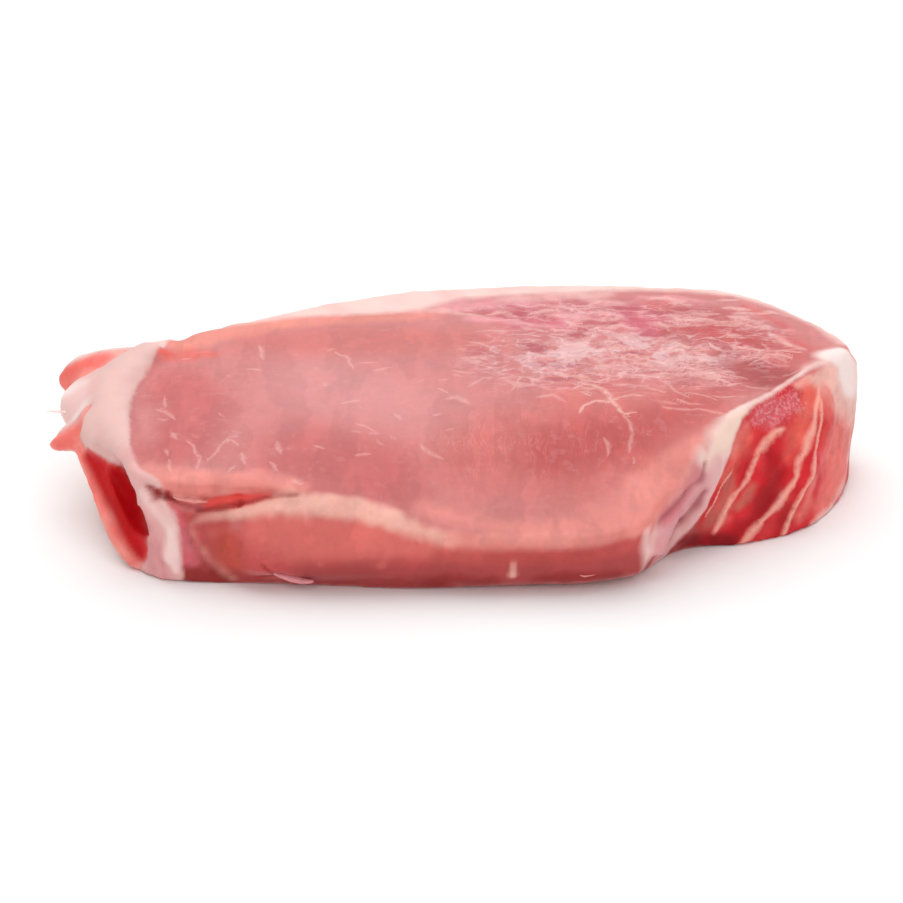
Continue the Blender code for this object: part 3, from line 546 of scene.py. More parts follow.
# Soft steps of depth in a tissue, in millimetres.
SIDE_STEP = (-0.4, 0.6)
SHEEN_STEP = (-3.0, 9.0)
WRINKLE_STEP = (-13.0, 1.0)
BACK_STEP = (-5.0, 3.0)
SMOOTH_STEP = (-1.5, 2.0)
SPECKLE_STEP = (-2.0, 1.8)
SOFT_EDGE_STEP = (-2.0, 2.0)
FIBRE_STEP = (-2.0, 10.0)
TISSUE_STEP = (-0.2, 0.4)
MARBLING_STEP = (-1.0, 0.5)
FLECK_STEP = (-1.6, 0.2)
RED_STEP = (-0.5, 0.5)
HOLLOW_STEP = (-0.8, 1.6)
HOLLOW_SHADOW_STEP = (-2.6, 1.6)

# Soft steps of height over the floor, in millimetres: of the relief, and of the painted shade at the foot of
# the walls.
FOOT_STEP = (0.0, 1.2)
LOW_WALL_SHADE_STEP = (0.0, 9.0)

# How much of the wrinkles shows on the back, and is lost on a smooth patch, as shares.
BACK_SHARE = 0.8
SMOOTH_SHARE = 0.9
FLECK_SMOOTH_SHARE = 0.8

# Noise on the skin: the width of its lumps on x, y and z in millimetres, and its seed. The rags make the
# edges of the layers uneven, as wide as given here, and the waver bends the strokes.
LUMPS = ((13.0, 11.0, 12.0), 1)
DIMPLES = ((3.4, 3.0, 3.2), 2)
LOBULES = ((2.6, 2.4, 2.6), 3)
FIBRES = ((1.6, 11.0, 6.0), 4)
BROAD_WRINKLES = ((6.0, 2.2, 5.0), 5)
FINE_WRINKLES = ((3.4, 1.5, 4.0), 12)
SIDE_FIBRES = ((2.1, 2.1, 2.1), 6)
SIDE_PATCHES = ((4.0, 4.0, 4.0), 8)
BLUSH = ((7.0, 7.0, 5.0), 9)
RED_PATCHES = ((3.0, 3.0, 3.0), 13)
FINE_RAGS = ((2.0, 2.0, 2.0), 11)
BROAD_RAGS = ((5.0, 5.0, 5.0), 14)
FINE_RAG_WIDTH = 0.45
BROAD_RAG_WIDTH = 0.9
MOST_RAGGED = 1.3
WAVER_SIZE = (3.8, 3.8, 3.8)
WAVER_SEEDS = (21, 22, 23)

# How the noise of the relief is used: turn in degrees, shares, and heights in millimetres.
WRINKLE_TURN = -22.0
FINE_WRINKLE_SHARE = 0.6
WRINKLE_FLOOR = 0.7
SIDE_STRETCH = 0.90
SIDE_FIBRE_HEIGHT = 0.22
FAT_STEP_EDGE = (-0.3, 0.7)
RED_GROOVE_WIDTH = 0.5
RED_GROOVE_DEPTH = 0.28
HOLLOW_SLOPE = (-0.6, 3.0)
HOLLOW_SHARE = 0.5
HOLLOW_EDGE_SLOPE = (-3.0, 2.0)
HOLLOW_EDGE_SHARE = 0.4
MARBLING_RISE = 0.09
FOLD_RISE = 0.26

# How the colours are laid: strength, middle and most of the uneven patches, how much of the streaky end's
# layers reaches past its outline, how deep the flap's pale rim with its painted highlight lies and how wide
# it is, in millimetres, how much the patches and the rim show, and how far the painted shadow covers the
# hollow.
SIDE_PATCH_TONE = (0.4, 0.04, 0.3)
RED_PATCH_TONE = (0.9, 0.25, 0.8)
BLUSH_TONE = (0.9, 0.10, 1.0)
RED_PATCH_SHARE = 0.6
FLAP_RIM_SHARE = 0.5
SIDE_LAYERS_BEYOND = 0.25
FLAP_RIM_DEPTH = 0.5
FLAP_RIM_WIDTH = 0.7
HOLLOW_SHADOW_COVER = 0.9

# How far the strokes waver from their paths, in millimetres.
TOP_WAVER = 0.8
SIDE_WAVER = 0.6

# The remeshed skin: how close doubles of the solid lie, and how its facets are eased away.
MERGE_DISTANCE = 0.01
EASE_SHARE = 0.5
EASE_ROUNDS = 6

# How a screen's colour values turn into linear ones.
SCREEN_WHITE = 255.0
SCREEN_KNEE = 0.04045
SCREEN_SLOPE = 12.92
SCREEN_OFFSET = 0.055
SCREEN_POWER = 2.4


def linear(srgb):
    """A colour given as it looks on a screen (0 to 255), in the linear values that Blender works with."""
    shares = (value / SCREEN_WHITE for value in srgb)
    return tuple(
        share / SCREEN_SLOPE if share <= SCREEN_KNEE
        else ((share + SCREEN_OFFSET) / (1.0 + SCREEN_OFFSET)) ** SCREEN_POWER
        for share in shares
    )


def colour_property(name, description, srgb):
    """A colour that the user can change."""
    return FloatVectorProperty(
        name=name, description=description, subtype="COLOR", size=3, min=0.0, max=1.0, default=linear(srgb)
    )


def length_property(name, description, millimetres):
    """A length that the user can change."""
    return FloatProperty(
        name=name, description=description, unit="LENGTH", min=0.0, default=millimetres * MM
    )


class ChopColours(bpy.types.PropertyGroup):
    """Colours of the meat and the fat."""

    lean: colour_property("Lean", "Lean meat, between its patches", (208, 124, 122))
    lean_pale: colour_property("Pale lean", "The palest lean, in the middle of the eye", (214, 140, 138))
    lean_rose: colour_property("Rose lean", "Lean at the ends of the eye", (198, 90, 92))
    lean_deep: colour_property("Deep lean", "The redder lean of the eye", (208, 106, 101))
    lean_dark: colour_property("Dark lean", "The darkest lean of the eye", (190, 68, 69))
    lean_darkest: colour_property("Darkest lean", "The smooth dark patch beside the seam", (166, 58, 60))
    lean_lilac: colour_property("Lilac lean", "Lean under thin silver skin", (202, 96, 110))
    lean_magenta: colour_property("Magenta lean", "Dark pink lean behind the silver skin", (200, 78, 100))
    lean_warm: colour_property("Warm lean", "Lean at the back rim, lit from behind", (240, 144, 126))
    skin_pink: colour_property("Pink skin", "Pink skin at the back rim", (236, 156, 162))
    skin_pale: colour_property("Pale skin", "Pale folds of skin at the back rim", (240, 184, 178))
    skin_line: colour_property("Skin folds", "Raised folds of the silver skin", (244, 188, 190))
    # Painted shade between the folds of the silver skin.
    skin_gap_shade: colour_property("Skin gaps", "Lean between the folds of the silver skin", (180, 76, 86))
    notch_orange: colour_property("Notch orange", "Lean beside the notch at the back left", (232, 98, 84))
    rim_blood: colour_property("Blood line", "Thin red line under the back fat", (214, 84, 88))
    rim_orange: colour_property("Orange rim", "Thin orange line above the cleft", (226, 118, 92))
    # Painted highlight: the lit rounded edge of the eye's front rim, laid as paler colours.
    lip_highlight: colour_property("Pale lip", "Where the eye thins out at its front rim", (236, 146, 136))
    lip_edge_highlight: colour_property("Bright lip", "The edge of the eye's front rim", (236, 152, 142))
    # Painted highlight: the lit upper edge of the front strip, laid as a paler colour.
    strip_edge_highlight: colour_property("Strip edge", "Pale upper edge of the front strip", (244, 184, 168))
    strip_orange: colour_property("Strip end", "Free end of the front strip", (198, 78, 64))
    # Darker lean of the walls: partly the colour of meat cut along its fibres, partly painted shade on faces
    # turned from the light above.
    wall: colour_property("Front wall", "Lean of the front wall", (198, 82, 80))
    # Painted light: the upper front wall lighter where light from above falls, and thin lit columns on the
    # strip.
    wall_lit: colour_property("Light wall", "Lighter lean of the front wall", (224, 114, 106))
    # Painted shade: the walls darken towards the floor.
    low_wall_shade: colour_property("Low wall", "Lean of the front wall near its foot", (172, 68, 68))
    wall_shadow: colour_property("Under the lip", "Dark line under the eye's front rim", (190, 76, 70))
    # Painted shade: dark red where the chop meets the floor and in the crease under the strip.
    foot_and_crease_shade: colour_property("Foot red", "Dark lean where the chop rests", (152, 38, 36))
    flesh_purple: colour_property("Purple flesh", "Flesh beside the strip's end", (216, 103, 114))
    flesh_pale: colour_property("Pale flesh", "Pale lines in the purple flesh", (220, 152, 154))
    side_red: colour_property("Streaky red", "Red of the streaky end", (214, 34, 44))
    side_deep: colour_property("Streaky deep", "Deepest red of the streaky end", (170, 2, 16))
    # Painted shade: a darker copy of the streaky red where it meets the floor.
    side_foot_shade: colour_property("Streaky foot", "Dark foot of the streaky end", (142, 0, 14))
    side_light: colour_property("Streaky light", "Paler red of the streaky end", (232, 112, 104))
    side_orange: colour_property("Streaky orange", "Thin orange muscle at the streaky end", (240, 104, 90))
    side_brown: colour_property("Streaky brown", "Dry patches of the streaky end", (198, 104, 92))
    side_speckle: colour_property("Speckled red", "Cut ends of fibres beside the seam", (228, 100, 108))
    corner_pale: colour_property("Corner", "Pale flesh under the back right corner", (246, 190, 178))
    flap_red: colour_property("Flap", "Orange red of the loose flap", (250, 124, 116))
    flap_orange: colour_property("Flap orange", "The most orange part of the flap", (248, 104, 88))
    # Paler rims and patches of the flap, with painted highlight along its lit upper edges.
    flap_pale_and_highlight: colour_property("Flap edge", "Paler rims of the flap", (246, 168, 158))
    # Deep red inside the hollow: partly the flap's own inner face, partly painted shade under the fat's
    # overhang.
    hollow_red_and_shade: colour_property("Hollow", "Blood red inside the hollow", (190, 8, 12))
    # Painted shadow of the fat's overhang along the hollow's inner edge.
    hollow_shadow: colour_property("Deep hollow", "The darkest part of the hollow", (206, 4, 22))
    cleft_red: colour_property("Cleft", "Red inside the cleft", (244, 84, 78))
    # Painted shade: dark red deep in the folds and creases.
    fold_shade: colour_property("Fold", "Dark red deep in a fold", (160, 40, 44))
    fat: colour_property("Fat", "Firm fat", (244, 208, 200))
    fat_rosy: colour_property("Rosy fat", "Pinkish fat at the left", (232, 188, 182))
    fat_blush: colour_property("Blushed fat", "Fat with pink in it", (240, 184, 180))
    fat_pink: colour_property("Pink fat", "Flesh seen through thin fat", (214, 138, 142))
    fat_low: colour_property("Low fat", "Pinkish fat at the foot of the left wall", (228, 160, 160))
    fat_bright: colour_property("Bright fat", "Fat at the two upper corners", (255, 232, 228))
    fat_white: colour_property("White fat", "The whitest strands of fat", (250, 216, 211))
    seam_cream: colour_property("Seam cream", "Cream fat of the seam", (248, 214, 198))
    seam_lilac: colour_property("Seam lilac", "Lilac skin of the seam's ridges", (222, 158, 164))
    seam_white: colour_property("Seam white", "The whitest ridge of the seam", (228, 174, 176))
    seam_pink: colour_property("Seam pink", "Pink flesh of the seam", (218, 126, 132))
    seam_purple: colour_property("Seam purple", "Dark lines deep in the seam", (170, 82, 92))
    marbling: colour_property("Marbling", "Flecks of fat in the lean", (244, 190, 182))
    streak: colour_property("Streak", "White streaks of the streaky end", (250, 178, 162))
    # Partly the silver skin's own colour, partly a painted sheen of reflected light.
    sheen: colour_property("Silver skin", "Whitish wet skin on the eye", (230, 187, 188))


class ChopShape(bpy.types.PropertyGroup):
    """Sizes of the surface's relief."""

    skin_grain: length_property("Skin grain", "Width of the faces of the fine skin", 0.57)
    lump_height: length_property("Lumps", "Height of the broad lumps", 0.26)
    dimple_height: length_property("Dimples", "Height of the small dimples", 0.07)
    fibre_height: length_property("Fibres", "Height of the fibre ridges", 0.12)
    wrinkle_height: length_property("Wrinkles", "Height of the silver skin's wrinkles", 0.42)
    lobule_height: length_property("Lobules", "Height of the fat's lobules", 0.16)
    fat_step: length_property("Fat step", "How far the fat stands above the lean", 0.22)
    streak_height: length_property("Streaks", "How far the white streaks stand out", 0.30)
    hollow_depth: length_property("Hollow", "How far the hollow is sunk beyond the solid's", 0.85)
    fleck_count: IntProperty(name="Flecks", description="Small flecks of fat in the eye", default=70, min=0)
    wrinkle_count: IntProperty(
        name="Wrinkle lines", description="White folds on the silver skin", default=150, min=0
    )
    seed: IntProperty(name="Seed", description="Seed of the scattered flecks", default=7, min=0)


class ChopStage(bpy.types.PropertyGroup):
    """Camera, light and floor."""

    camera_distance: length_property("Camera distance", "From the camera to the chop", 565.0)
    camera_elevation: FloatProperty(
        name="Camera elevation", description="How steeply the camera looks down", unit="ROTATION",
        default=math.radians(26.0),
    )
    lens: FloatProperty(name="Lens", description="Focal length in millimetres", default=120.0, min=1.0)
    sun: FloatProperty(name="Key light", description="Strength of the soft light above", default=1.7)
    fill: FloatProperty(name="Fill light", description="Strength of the soft light in front", default=0.9)
    back_power: FloatProperty(
        name="Back light", description="Power of the low light behind, in watts", default=0.9
    )
    sky: FloatProperty(name="Sky", description="Strength of the white surroundings", default=0.42)
    floor: colour_property("Floor", "Plain white floor", (250, 250, 250))
    floor_size: length_property("Floor size", "Length of a side of the floor", 8000.0)


def smoothstep(low, high, value):
    """0 below low, 1 above high, and a soft rise between them."""
    share = np.clip((value - low) / (high - low), 0.0, 1.0)
    return share * share * (3.0 - 2.0 * share)


SEED_STEPS = (17.3, 5.1, 11.7)
RIDGE_SHARPNESS = 3.2


def noise_field(points, size, seed):
    """Smooth noise at the points. size is the width of a lump in millimetres, on each axis."""
    offset = Vector([seed * step for step in SEED_STEPS])
    scaled = (points / np.array(size)).tolist()
    return np.array([noise.noise(Vector(place) + offset) for place in scaled])


def turned(points, degrees):
    """The points turned about the upright axis."""
    turn = math.radians(degrees)
    x = points[:, 0] * math.cos(turn) + points[:, 1] * math.sin(turn)
    y = points[:, 1] * math.cos(turn) - points[:, 0] * math.sin(turn)
    return np.stack([x, y, points[:, 2]], axis=1)


def ridge_field(points, size, seed):
    """Thin raised lines between hollows, from 0 in a hollow to 1 on a line."""
    return 1.0 - np.clip(np.abs(noise_field(points, size, seed)) * RIDGE_SHARPNESS, 0.0, 1.0)


def strand_depth(points, strand):
    """How far inside a strand of changing radius each point lies, in millimetres: below 0 is outside."""
    knots = [np.array(knot) for knot in strand]
    depth = np.full(len(points), -FAR)
    for start, end in zip(knots, knots[1:]):
        along = end[:3] - start[:3]
        share = np.clip((points - start[:3]) @ along / float(along @ along), 0.0, 1.0)
        distance = np.linalg.norm(points - start[:3] - share[:, None] * along, axis=1)
        depth = np.maximum(depth, start[3] + share * (end[3] - start[3]) - distance)
    return depth


def deepest(points, strands):
    """How far inside any of several strands each point lies, in millimetres."""
    return np.maximum.reduce([strand_depth(points, strand) for strand in strands])


def outline_depth(points, outline):
    """How far inside an outline each point lies as seen from above, in millimetres: below 0 is outside."""
    x, y = points[:, 0], points[:, 1]
    nearest = np.full(len(points), FAR)
    inside = np.zeros(len(points), bool)
    for (ax, ay), (bx, by) in zip(outline, outline[1:] + outline[:1]):
        dx, dy = bx - ax, by - ay
        share = np.clip(((x - ax) * dx + (y - ay) * dy) / (dx * dx + dy * dy), 0.0, 1.0)
        nearest = np.minimum(nearest, np.hypot(x - ax - share * dx, y - ay - share * dy))
        if dy:
            inside ^= ((ay > y) != (by > y)) & (x < ax + (y - ay) * dx / dy)
    return np.where(inside, nearest, -nearest)


# Strokes: how far from its path one is looked for, in millimetres, how squarely the skin has to face it, the
# greatest distance kept, in half-widths, and where its ridge starts and ends.
STROKE_REACH = 3.0
STROKE_FACING = 0.25
STROKE_FAR = 8.0
STROKE_RIDGE = (0.3, 1.6)


class StrokeField:
    """Where each point lies against the nearest of many thin, tapering strokes.

    A face of the skin is wider than a thin stroke. So each point keeps its distance across the stroke with
    a sign, and how far past its end it is. Both change evenly over a face, and the stroke stays sharp.
    """

    def __init__(self, points, normals):
        self.points = points
        self.normals = normals
        self.across = np.full(len(points), STROKE_FAR)
        self.past = np.full(len(points), STROKE_FAR)
        self.away = np.full(len(points), STROKE_FAR)
        self.strength = np.zeros(len(points))

    def add(self, path, half_width, facing, strength=1.0):
        """Lays one stroke along a path of points, on the skin that faces the given way."""
        facing = np.array(facing) / np.linalg.norm(facing)
        path = [np.array(place, float) for place in path]
        facing_skin = self.normals @ facing > STROKE_FACING
        lengths = [np.linalg.norm(end - start) for start, end in zip(path, path[1:])]
        done = 0.0
        for start, end in zip(path, path[1:]):
            low = np.minimum(start, end) - STROKE_REACH
            high = np.maximum(start, end) + STROKE_REACH
            near = facing_skin & np.all((self.points > low) & (self.points < high), axis=1)
            chosen = np.nonzero(near)[0]
            along = end - start
            length = np.linalg.norm(along)
            along /= length
            side = np.cross(facing, along)
            side /= np.linalg.norm(side)
            offset = self.points[chosen] - start
            run = offset @ along
            share = np.clip((done + run) / sum(lengths), 0.0, 1.0)
            width = half_width * (1.0 + np.sqrt(np.sin(math.pi * share))) / 2
            across = offset @ side / width
            past = np.maximum(np.maximum(-run, run - length), 0.0) / half_width
            done += length
            away = np.hypot(across, past)
            closer = away < self.away[chosen]
            won = chosen[closer]
            self.across[won] = across[closer]
            self.past[won] = past[closer]
            self.away[won] = away[closer]
            self.strength[won] = strength

    def packed(self):
        """The three distances as one vector for each point, in half-widths."""
        columns = (self.across, self.past, self.away)
        return np.stack([np.clip(column, -STROKE_FAR, STROKE_FAR) for column in columns], axis=1)

    def ridge(self):
        """1 on a stroke and 0 off it, softly."""
        return (1.0 - smoothstep(*STROKE_RIDGE, self.away)) * self.strength

    def keep(self, mesh, name):
        """Stores the strokes on the mesh, for the material."""
        store(mesh, name, "FLOAT_VECTOR", "vector", self.packed())
        store(mesh, name + "_strength", "FLOAT", "value", self.strength)


def top_path(path, height):
    """A path on a level face, given by x and y, at the height of that face."""
    return [(x, y, height) for x, y in path]


def scattered_path(rng, x, y, heading, length):
    """A short, slightly bent path from a point of a level face, in the given direction (degrees)."""
    turn = math.radians(heading)
    bend = rng.uniform(-FLECK_BEND, FLECK_BEND) * length
    run, rise = math.cos(turn), math.sin(turn)
    middle = (x + run * length / 2 - rise * bend, y + rise * length / 2 + run * bend)
    return [(x, y), middle, (x + run * length, y + rise * length)]


def scatter_flecks(field, shape, facing, seed):
    """Small flecks all over the eye, and white lines on its silver skin."""
    rng = random.Random(seed)
    height = UPPER_FACE if facing is UP else 0.0
    for _ in range(shape.fleck_count):
        places = [rng.uniform(*FLECK_X), rng.uniform(*FLECK_Y), rng.uniform(*FLECK_HEADING)]
        path = scattered_path(rng, *places, rng.uniform(*FLECK_LENGTH))
        half_width = rng.uniform(*FLECK_HALF_WIDTH)
        field.add(top_path(path, height), half_width, facing, rng.uniform(*FLECK_STRENGTH))
    for share, x, y, heading, length, half_width in FOLDS:
        for _ in range(round(shape.wrinkle_count * share)):
            places = [rng.gauss(*x), rng.gauss(*y), rng.gauss(*heading)]
            path = scattered_path(rng, *places, rng.uniform(*length))
            field.add(top_path(path, height), rng.uniform(*half_width), facing, rng.uniform(*FOLD_STRENGTH))


def fine_skin(node, name, grain):
    """A copy of a CAD node's solid under a fine, even skin, which shows none of the solid's facets."""
    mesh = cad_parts[node].data.copy()
    shape = bmesh.new()
    shape.from_mesh(mesh)
    bmesh.ops.remove_doubles(shape, verts=shape.verts, dist=MERGE_DISTANCE * MM)
    shape.to_mesh(mesh)
    shape.free()
    coarse = bpy.data.objects.new(name + "_coarse", mesh)
    bpy.context.scene.collection.objects.link(coarse)
    remesh = coarse.modifiers.new("Fine skin", "REMESH")
    remesh.mode = "VOXEL"
    remesh.voxel_size = grain
    ease = coarse.modifiers.new("Ease facets", "SMOOTH")
    ease.factor = EASE_SHARE
    ease.iterations = EASE_ROUNDS
    bpy.context.view_layer.update()
    graph = bpy.context.evaluated_depsgraph_get()
    fine = bpy.data.meshes.new_from_object(coarse.evaluated_get(graph))
    bpy.data.objects.remove(coarse, do_unlink=True)
    return fine


def mesh_points(mesh):
    """The mesh's points in millimetres, and the direction in which the skin faces at each."""
    points = np.zeros(len(mesh.vertices) * 3)
    mesh.vertices.foreach_get("co", points)
    normals = np.zeros(len(mesh.vertices) * 3, np.float32)
    mesh.vertex_normals.foreach_get("vector", normals)
    return points.reshape(-1, 3) / MM, normals.reshape(-1, 3).astype(float)


def store(mesh, name, kind, field, values):
    """Keeps a value for each point of the mesh under a name that materials read."""
    attribute = mesh.attributes.new(name, kind, "POINT")
    attribute.data.foreach_set(field, np.ascontiguousarray(values, np.float32).ravel())


def add_piece(name, mesh, material):
    """A finished piece of the chop: it moves with the one body and stands for the one solid."""
    piece = bpy.data.objects.new(name, mesh)
    bpy.context.scene.collection.objects.link(piece)
    mesh.materials.clear()
    mesh.materials.append(material)
    mesh.shade_smooth()
    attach(piece, "root")
    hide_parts(CHOP)
    return piece


class Anatomy:
    """Which tissue lies at each point of the skin, and how the layers cover it."""

    def __init__(self, points, normals):
        self.points = points
        self.underside = (normals[:, 2] < UNDERSIDE_FACING) & (points[:, 2] < UNDERSIDE_HEIGHT)
        outside_lean = -outline_depth(points, LEAN_OUTLINE)
        self.fat = np.maximum(outside_lean, deepest(points, FAT_STRANDS.values()))
        self.hollow = strand_depth(points, HOLLOW)
        self.hollow_edge = strand_depth(points, HOLLOW_EDGE)
        self.in_hollow = np.maximum(self.hollow, self.hollow_edge)
        self.red = np.maximum(self.in_hollow, deepest(points, RED_STRANDS.values()))
        self.level = smoothstep(*LEVEL_STEP, np.abs(normals[:, 2]))
        self.side = smoothstep(*SIDE_STEP, outline_depth(points, SIDE_OUTLINE))
        sheen_depth = strand_depth(points, SHEEN)
        self.sheen = smoothstep(*SHEEN_STEP, sheen_depth) * self.level
        back = smoothstep(*BACK_STEP, strand_depth(points, WRINKLED_BACK)) * BACK_SHARE
        self.smooth = smoothstep(*SMOOTH_STEP, deepest(points, SMOOTH_PATCHES))
        self.wrinkled = np.maximum(smoothstep(*WRINKLE_STEP, sheen_depth), back) * self.level
        self.wrinkled *= 1.0 - SMOOTH_SHARE * self.smooth
        self.speckle = smoothstep(*SPECKLE_STEP, strand_depth(points, SPECKLE))
        self.soft_edge = smoothstep(*SOFT_EDGE_STEP, deepest(points, SOFT_EDGES))
        self.fibres = smoothstep(*FIBRE_STEP, strand_depth(points, FIBRE_ZONE)) * self.level
        self.is_fat = smoothstep(*TISSUE_STEP, self.fat) * (1.0 - smoothstep(*TISSUE_STEP, self.red))
        fine_rags = noise_field(points, *FINE_RAGS) * FINE_RAG_WIDTH
        self.ragged = fine_rags + noise_field(points, *BROAD_RAGS) * BROAD_RAG_WIDTH
        self.waver = np.stack([noise_field(points, WAVER_SIZE, seed) for seed in WAVER_SEEDS], axis=1)

    def cover(self, softness, strand, lifted=False):
        """How far a layer covers each point, from 0 to 1, with a slightly ragged edge."""
        points = self.points
        if lifted:
            points = points + np.outer(self.underside, (0.0, 0.0, UPPER_FACE))
        depth = strand_depth(points, strand) + self.ragged * min(MOST_RAGGED, softness / 2)
        return smoothstep(-softness / 2, softness / 2, depth)


def layer_relief(anatomy):
    """The ridges and grooves that the layers name, in millimetres."""
    height = np.zeros(len(anatomy.points))
    for layers in (EYE_LAYERS, FRONT_LAYERS, SIDE_LAYERS, FAT_LAYERS, RED_LAYERS):
        for _, _, softness, rise, strand in layers:
            if rise:
                height += rise * anatomy.cover(softness, strand)
    return height


def relief(points, anatomy, marbling, flecks, streaks, shape):
    """How far each point of the skin moves outwards, in millimetres."""
    lumps = noise_field(points, *LUMPS) * shape.lump_height / MM
    dimples = noise_field(points, *DIMPLES) * shape.dimple_height / MM
    lobules = noise_field(points, *LOBULES) * shape.lobule_height / MM * anatomy.is_fat
    fibres = noise_field(points, *FIBRES) * shape.fibre_height / MM * anatomy.fibres
    slanted = turned(points, WRINKLE_TURN)
    fine_wrinkles = FINE_WRINKLE_SHARE * ridge_field(slanted, *FINE_WRINKLES)
    wrinkles = ridge_field(slanted, *BROAD_WRINKLES) + fine_wrinkles - WRINKLE_FLOOR
    wrinkles = wrinkles * shape.wrinkle_height / MM * anatomy.wrinkled
    grain = np.array(SIDE_GRAIN.normalized())
    along = (points @ grain)[:, None] * grain
    side = noise_field(points - along * SIDE_STRETCH, *SIDE_FIBRES) * SIDE_FIBRE_HEIGHT * anatomy.side
    step = smoothstep(*FAT_STEP_EDGE, anatomy.fat) * anatomy.is_fat * (1.0 - anatomy.soft_edge)
    step *= shape.fat_step / MM
    groove = np.exp(-((anatomy.red / RED_GROOVE_WIDTH) ** 2)) * RED_GROOVE_DEPTH
    sunk = smoothstep(*HOLLOW_SLOPE, anatomy.hollow) * HOLLOW_SHARE
    sunk += smoothstep(*HOLLOW_EDGE_SLOPE, anatomy.hollow_edge) * HOLLOW_EDGE_SHARE
    sunk *= shape.hollow_depth / MM
    strands = marbling.ridge() * MARBLING_RISE + flecks.ridge() * anatomy.wrinkled * FOLD_RISE
    for streak in streaks:
        strands += streak.ridge() * shape.streak_height / MM
    height = lumps + dimples + lobules + fibres + wrinkles + side + step - groove - sunk + strands
    return (height + layer_relief(anatomy)) * smoothstep(*FOOT_STEP, points[:, 2])


def keep_in_box(points):
    """Keeps the skin on its resting surface, and next to the solid's box."""
    low, high = (np.array(corner) / MM for corner in cad_box)
    low = low - np.array((PROUD[0], PROUD[1], 0.0))
    return np.clip(points, low, high + np.array(PROUD))


class Paint:
    """A colour for each point, over which others are laid."""

    def __init__(self, colours, name, count):
        self.colours = colours
        self.values = np.tile(np.array(getattr(colours, name)), (count, 1))

    def cover(self, name, mask):
        """Lays a named colour over the points, as far as the mask says."""
        self.values += (np.array(getattr(self.colours, name)) - self.values) * mask[:, None]

    def layers(self, anatomy, layers, lifted=False):
        """Lays a table of layers over the points, in order."""
        for name, cover, softness, _, strand in layers:
            self.cover(name, anatomy.cover(softness, strand, lifted) * cover)

    def layers_within(self, anatomy, layers, reach):
        """Lays a table of layers over the points, and keeps it only as far as the reach says."""
        before = self.values.copy()
        self.layers(anatomy, layers)
        self.values = before + (self.values - before) * reach[:, None]

    def with_alpha(self):
        """The colours with a full alpha."""
        return np.concatenate([self.values, np.ones((len(self.values), 1))], axis=1)


def patch_cover(points, noise_kind, tone):
    """How far uneven patches of a colour cover each point."""
    strength, middle, most = tone
    return np.clip(noise_field(points, *noise_kind) * strength + middle, 0.0, most)


def painted_lean(points, normals, anatomy, colours):
    """The colour of the meat at each point, before its grain."""
    paint = Paint(colours, "lean", len(points))
    wall = 1.0 - smoothstep(*WALL_STEP, np.abs(normals[:, 2]))
    low = 1.0 - smoothstep(*LOW_WALL_SHADE_STEP, points[:, 2])
    paint.layers(anatomy, EYE_LAYERS, lifted=True)
    # Walls darker than the upper face: partly their own colour, partly painted shade where they turn from the
    # light above.
    paint.cover("wall", wall)
    # Painted shade: the walls darker near the floor.
    paint.cover("low_wall_shade", wall * low)
    paint.layers(anatomy, FRONT_LAYERS)
    paint.cover("side_red", anatomy.side)
    paint.cover("side_light", anatomy.side * patch_cover(points, SIDE_PATCHES, SIDE_PATCH_TONE))
    paint.layers_within(anatomy, SIDE_LAYERS, np.maximum(anatomy.side, SIDE_LAYERS_BEYOND))
    red = smoothstep(*RED_STEP, anatomy.red)
    paint.cover("flap_red", red)
    # Pale patches and a pale rim on the flap; the rim carries painted highlight.
    pale = patch_cover(points, RED_PATCHES, RED_PATCH_TONE) * RED_PATCH_SHARE
    rim = np.exp(-(((anatomy.red - FLAP_RIM_DEPTH) / FLAP_RIM_WIDTH) ** 2)) * FLAP_RIM_SHARE
    paint.cover("flap_pale_and_highlight", red * np.clip(pale + rim, 0.0, 1.0))
    paint.layers_within(anatomy, RED_LAYERS, red)
    # The hollow's red: partly its own colour, partly painted shade under the fat.
    paint.cover("hollow_red_and_shade", smoothstep(*HOLLOW_STEP, anatomy.in_hollow))
    # Painted shadow of the fat's overhang along the hollow's inner edge.
    paint.cover("hollow_shadow", smoothstep(*HOLLOW_SHADOW_STEP, anatomy.hollow_edge) * HOLLOW_SHADOW_COVER)
    return paint


def painted_fat(points, anatomy, colours):
    """The colour of the fat at each point, before its grain."""
    paint = Paint(colours, "fat", len(points))
    paint.cover("fat_blush", patch_cover(points, BLUSH, BLUSH_TONE))
    paint.layers(anatomy, FAT_LAYERS)
    return paint


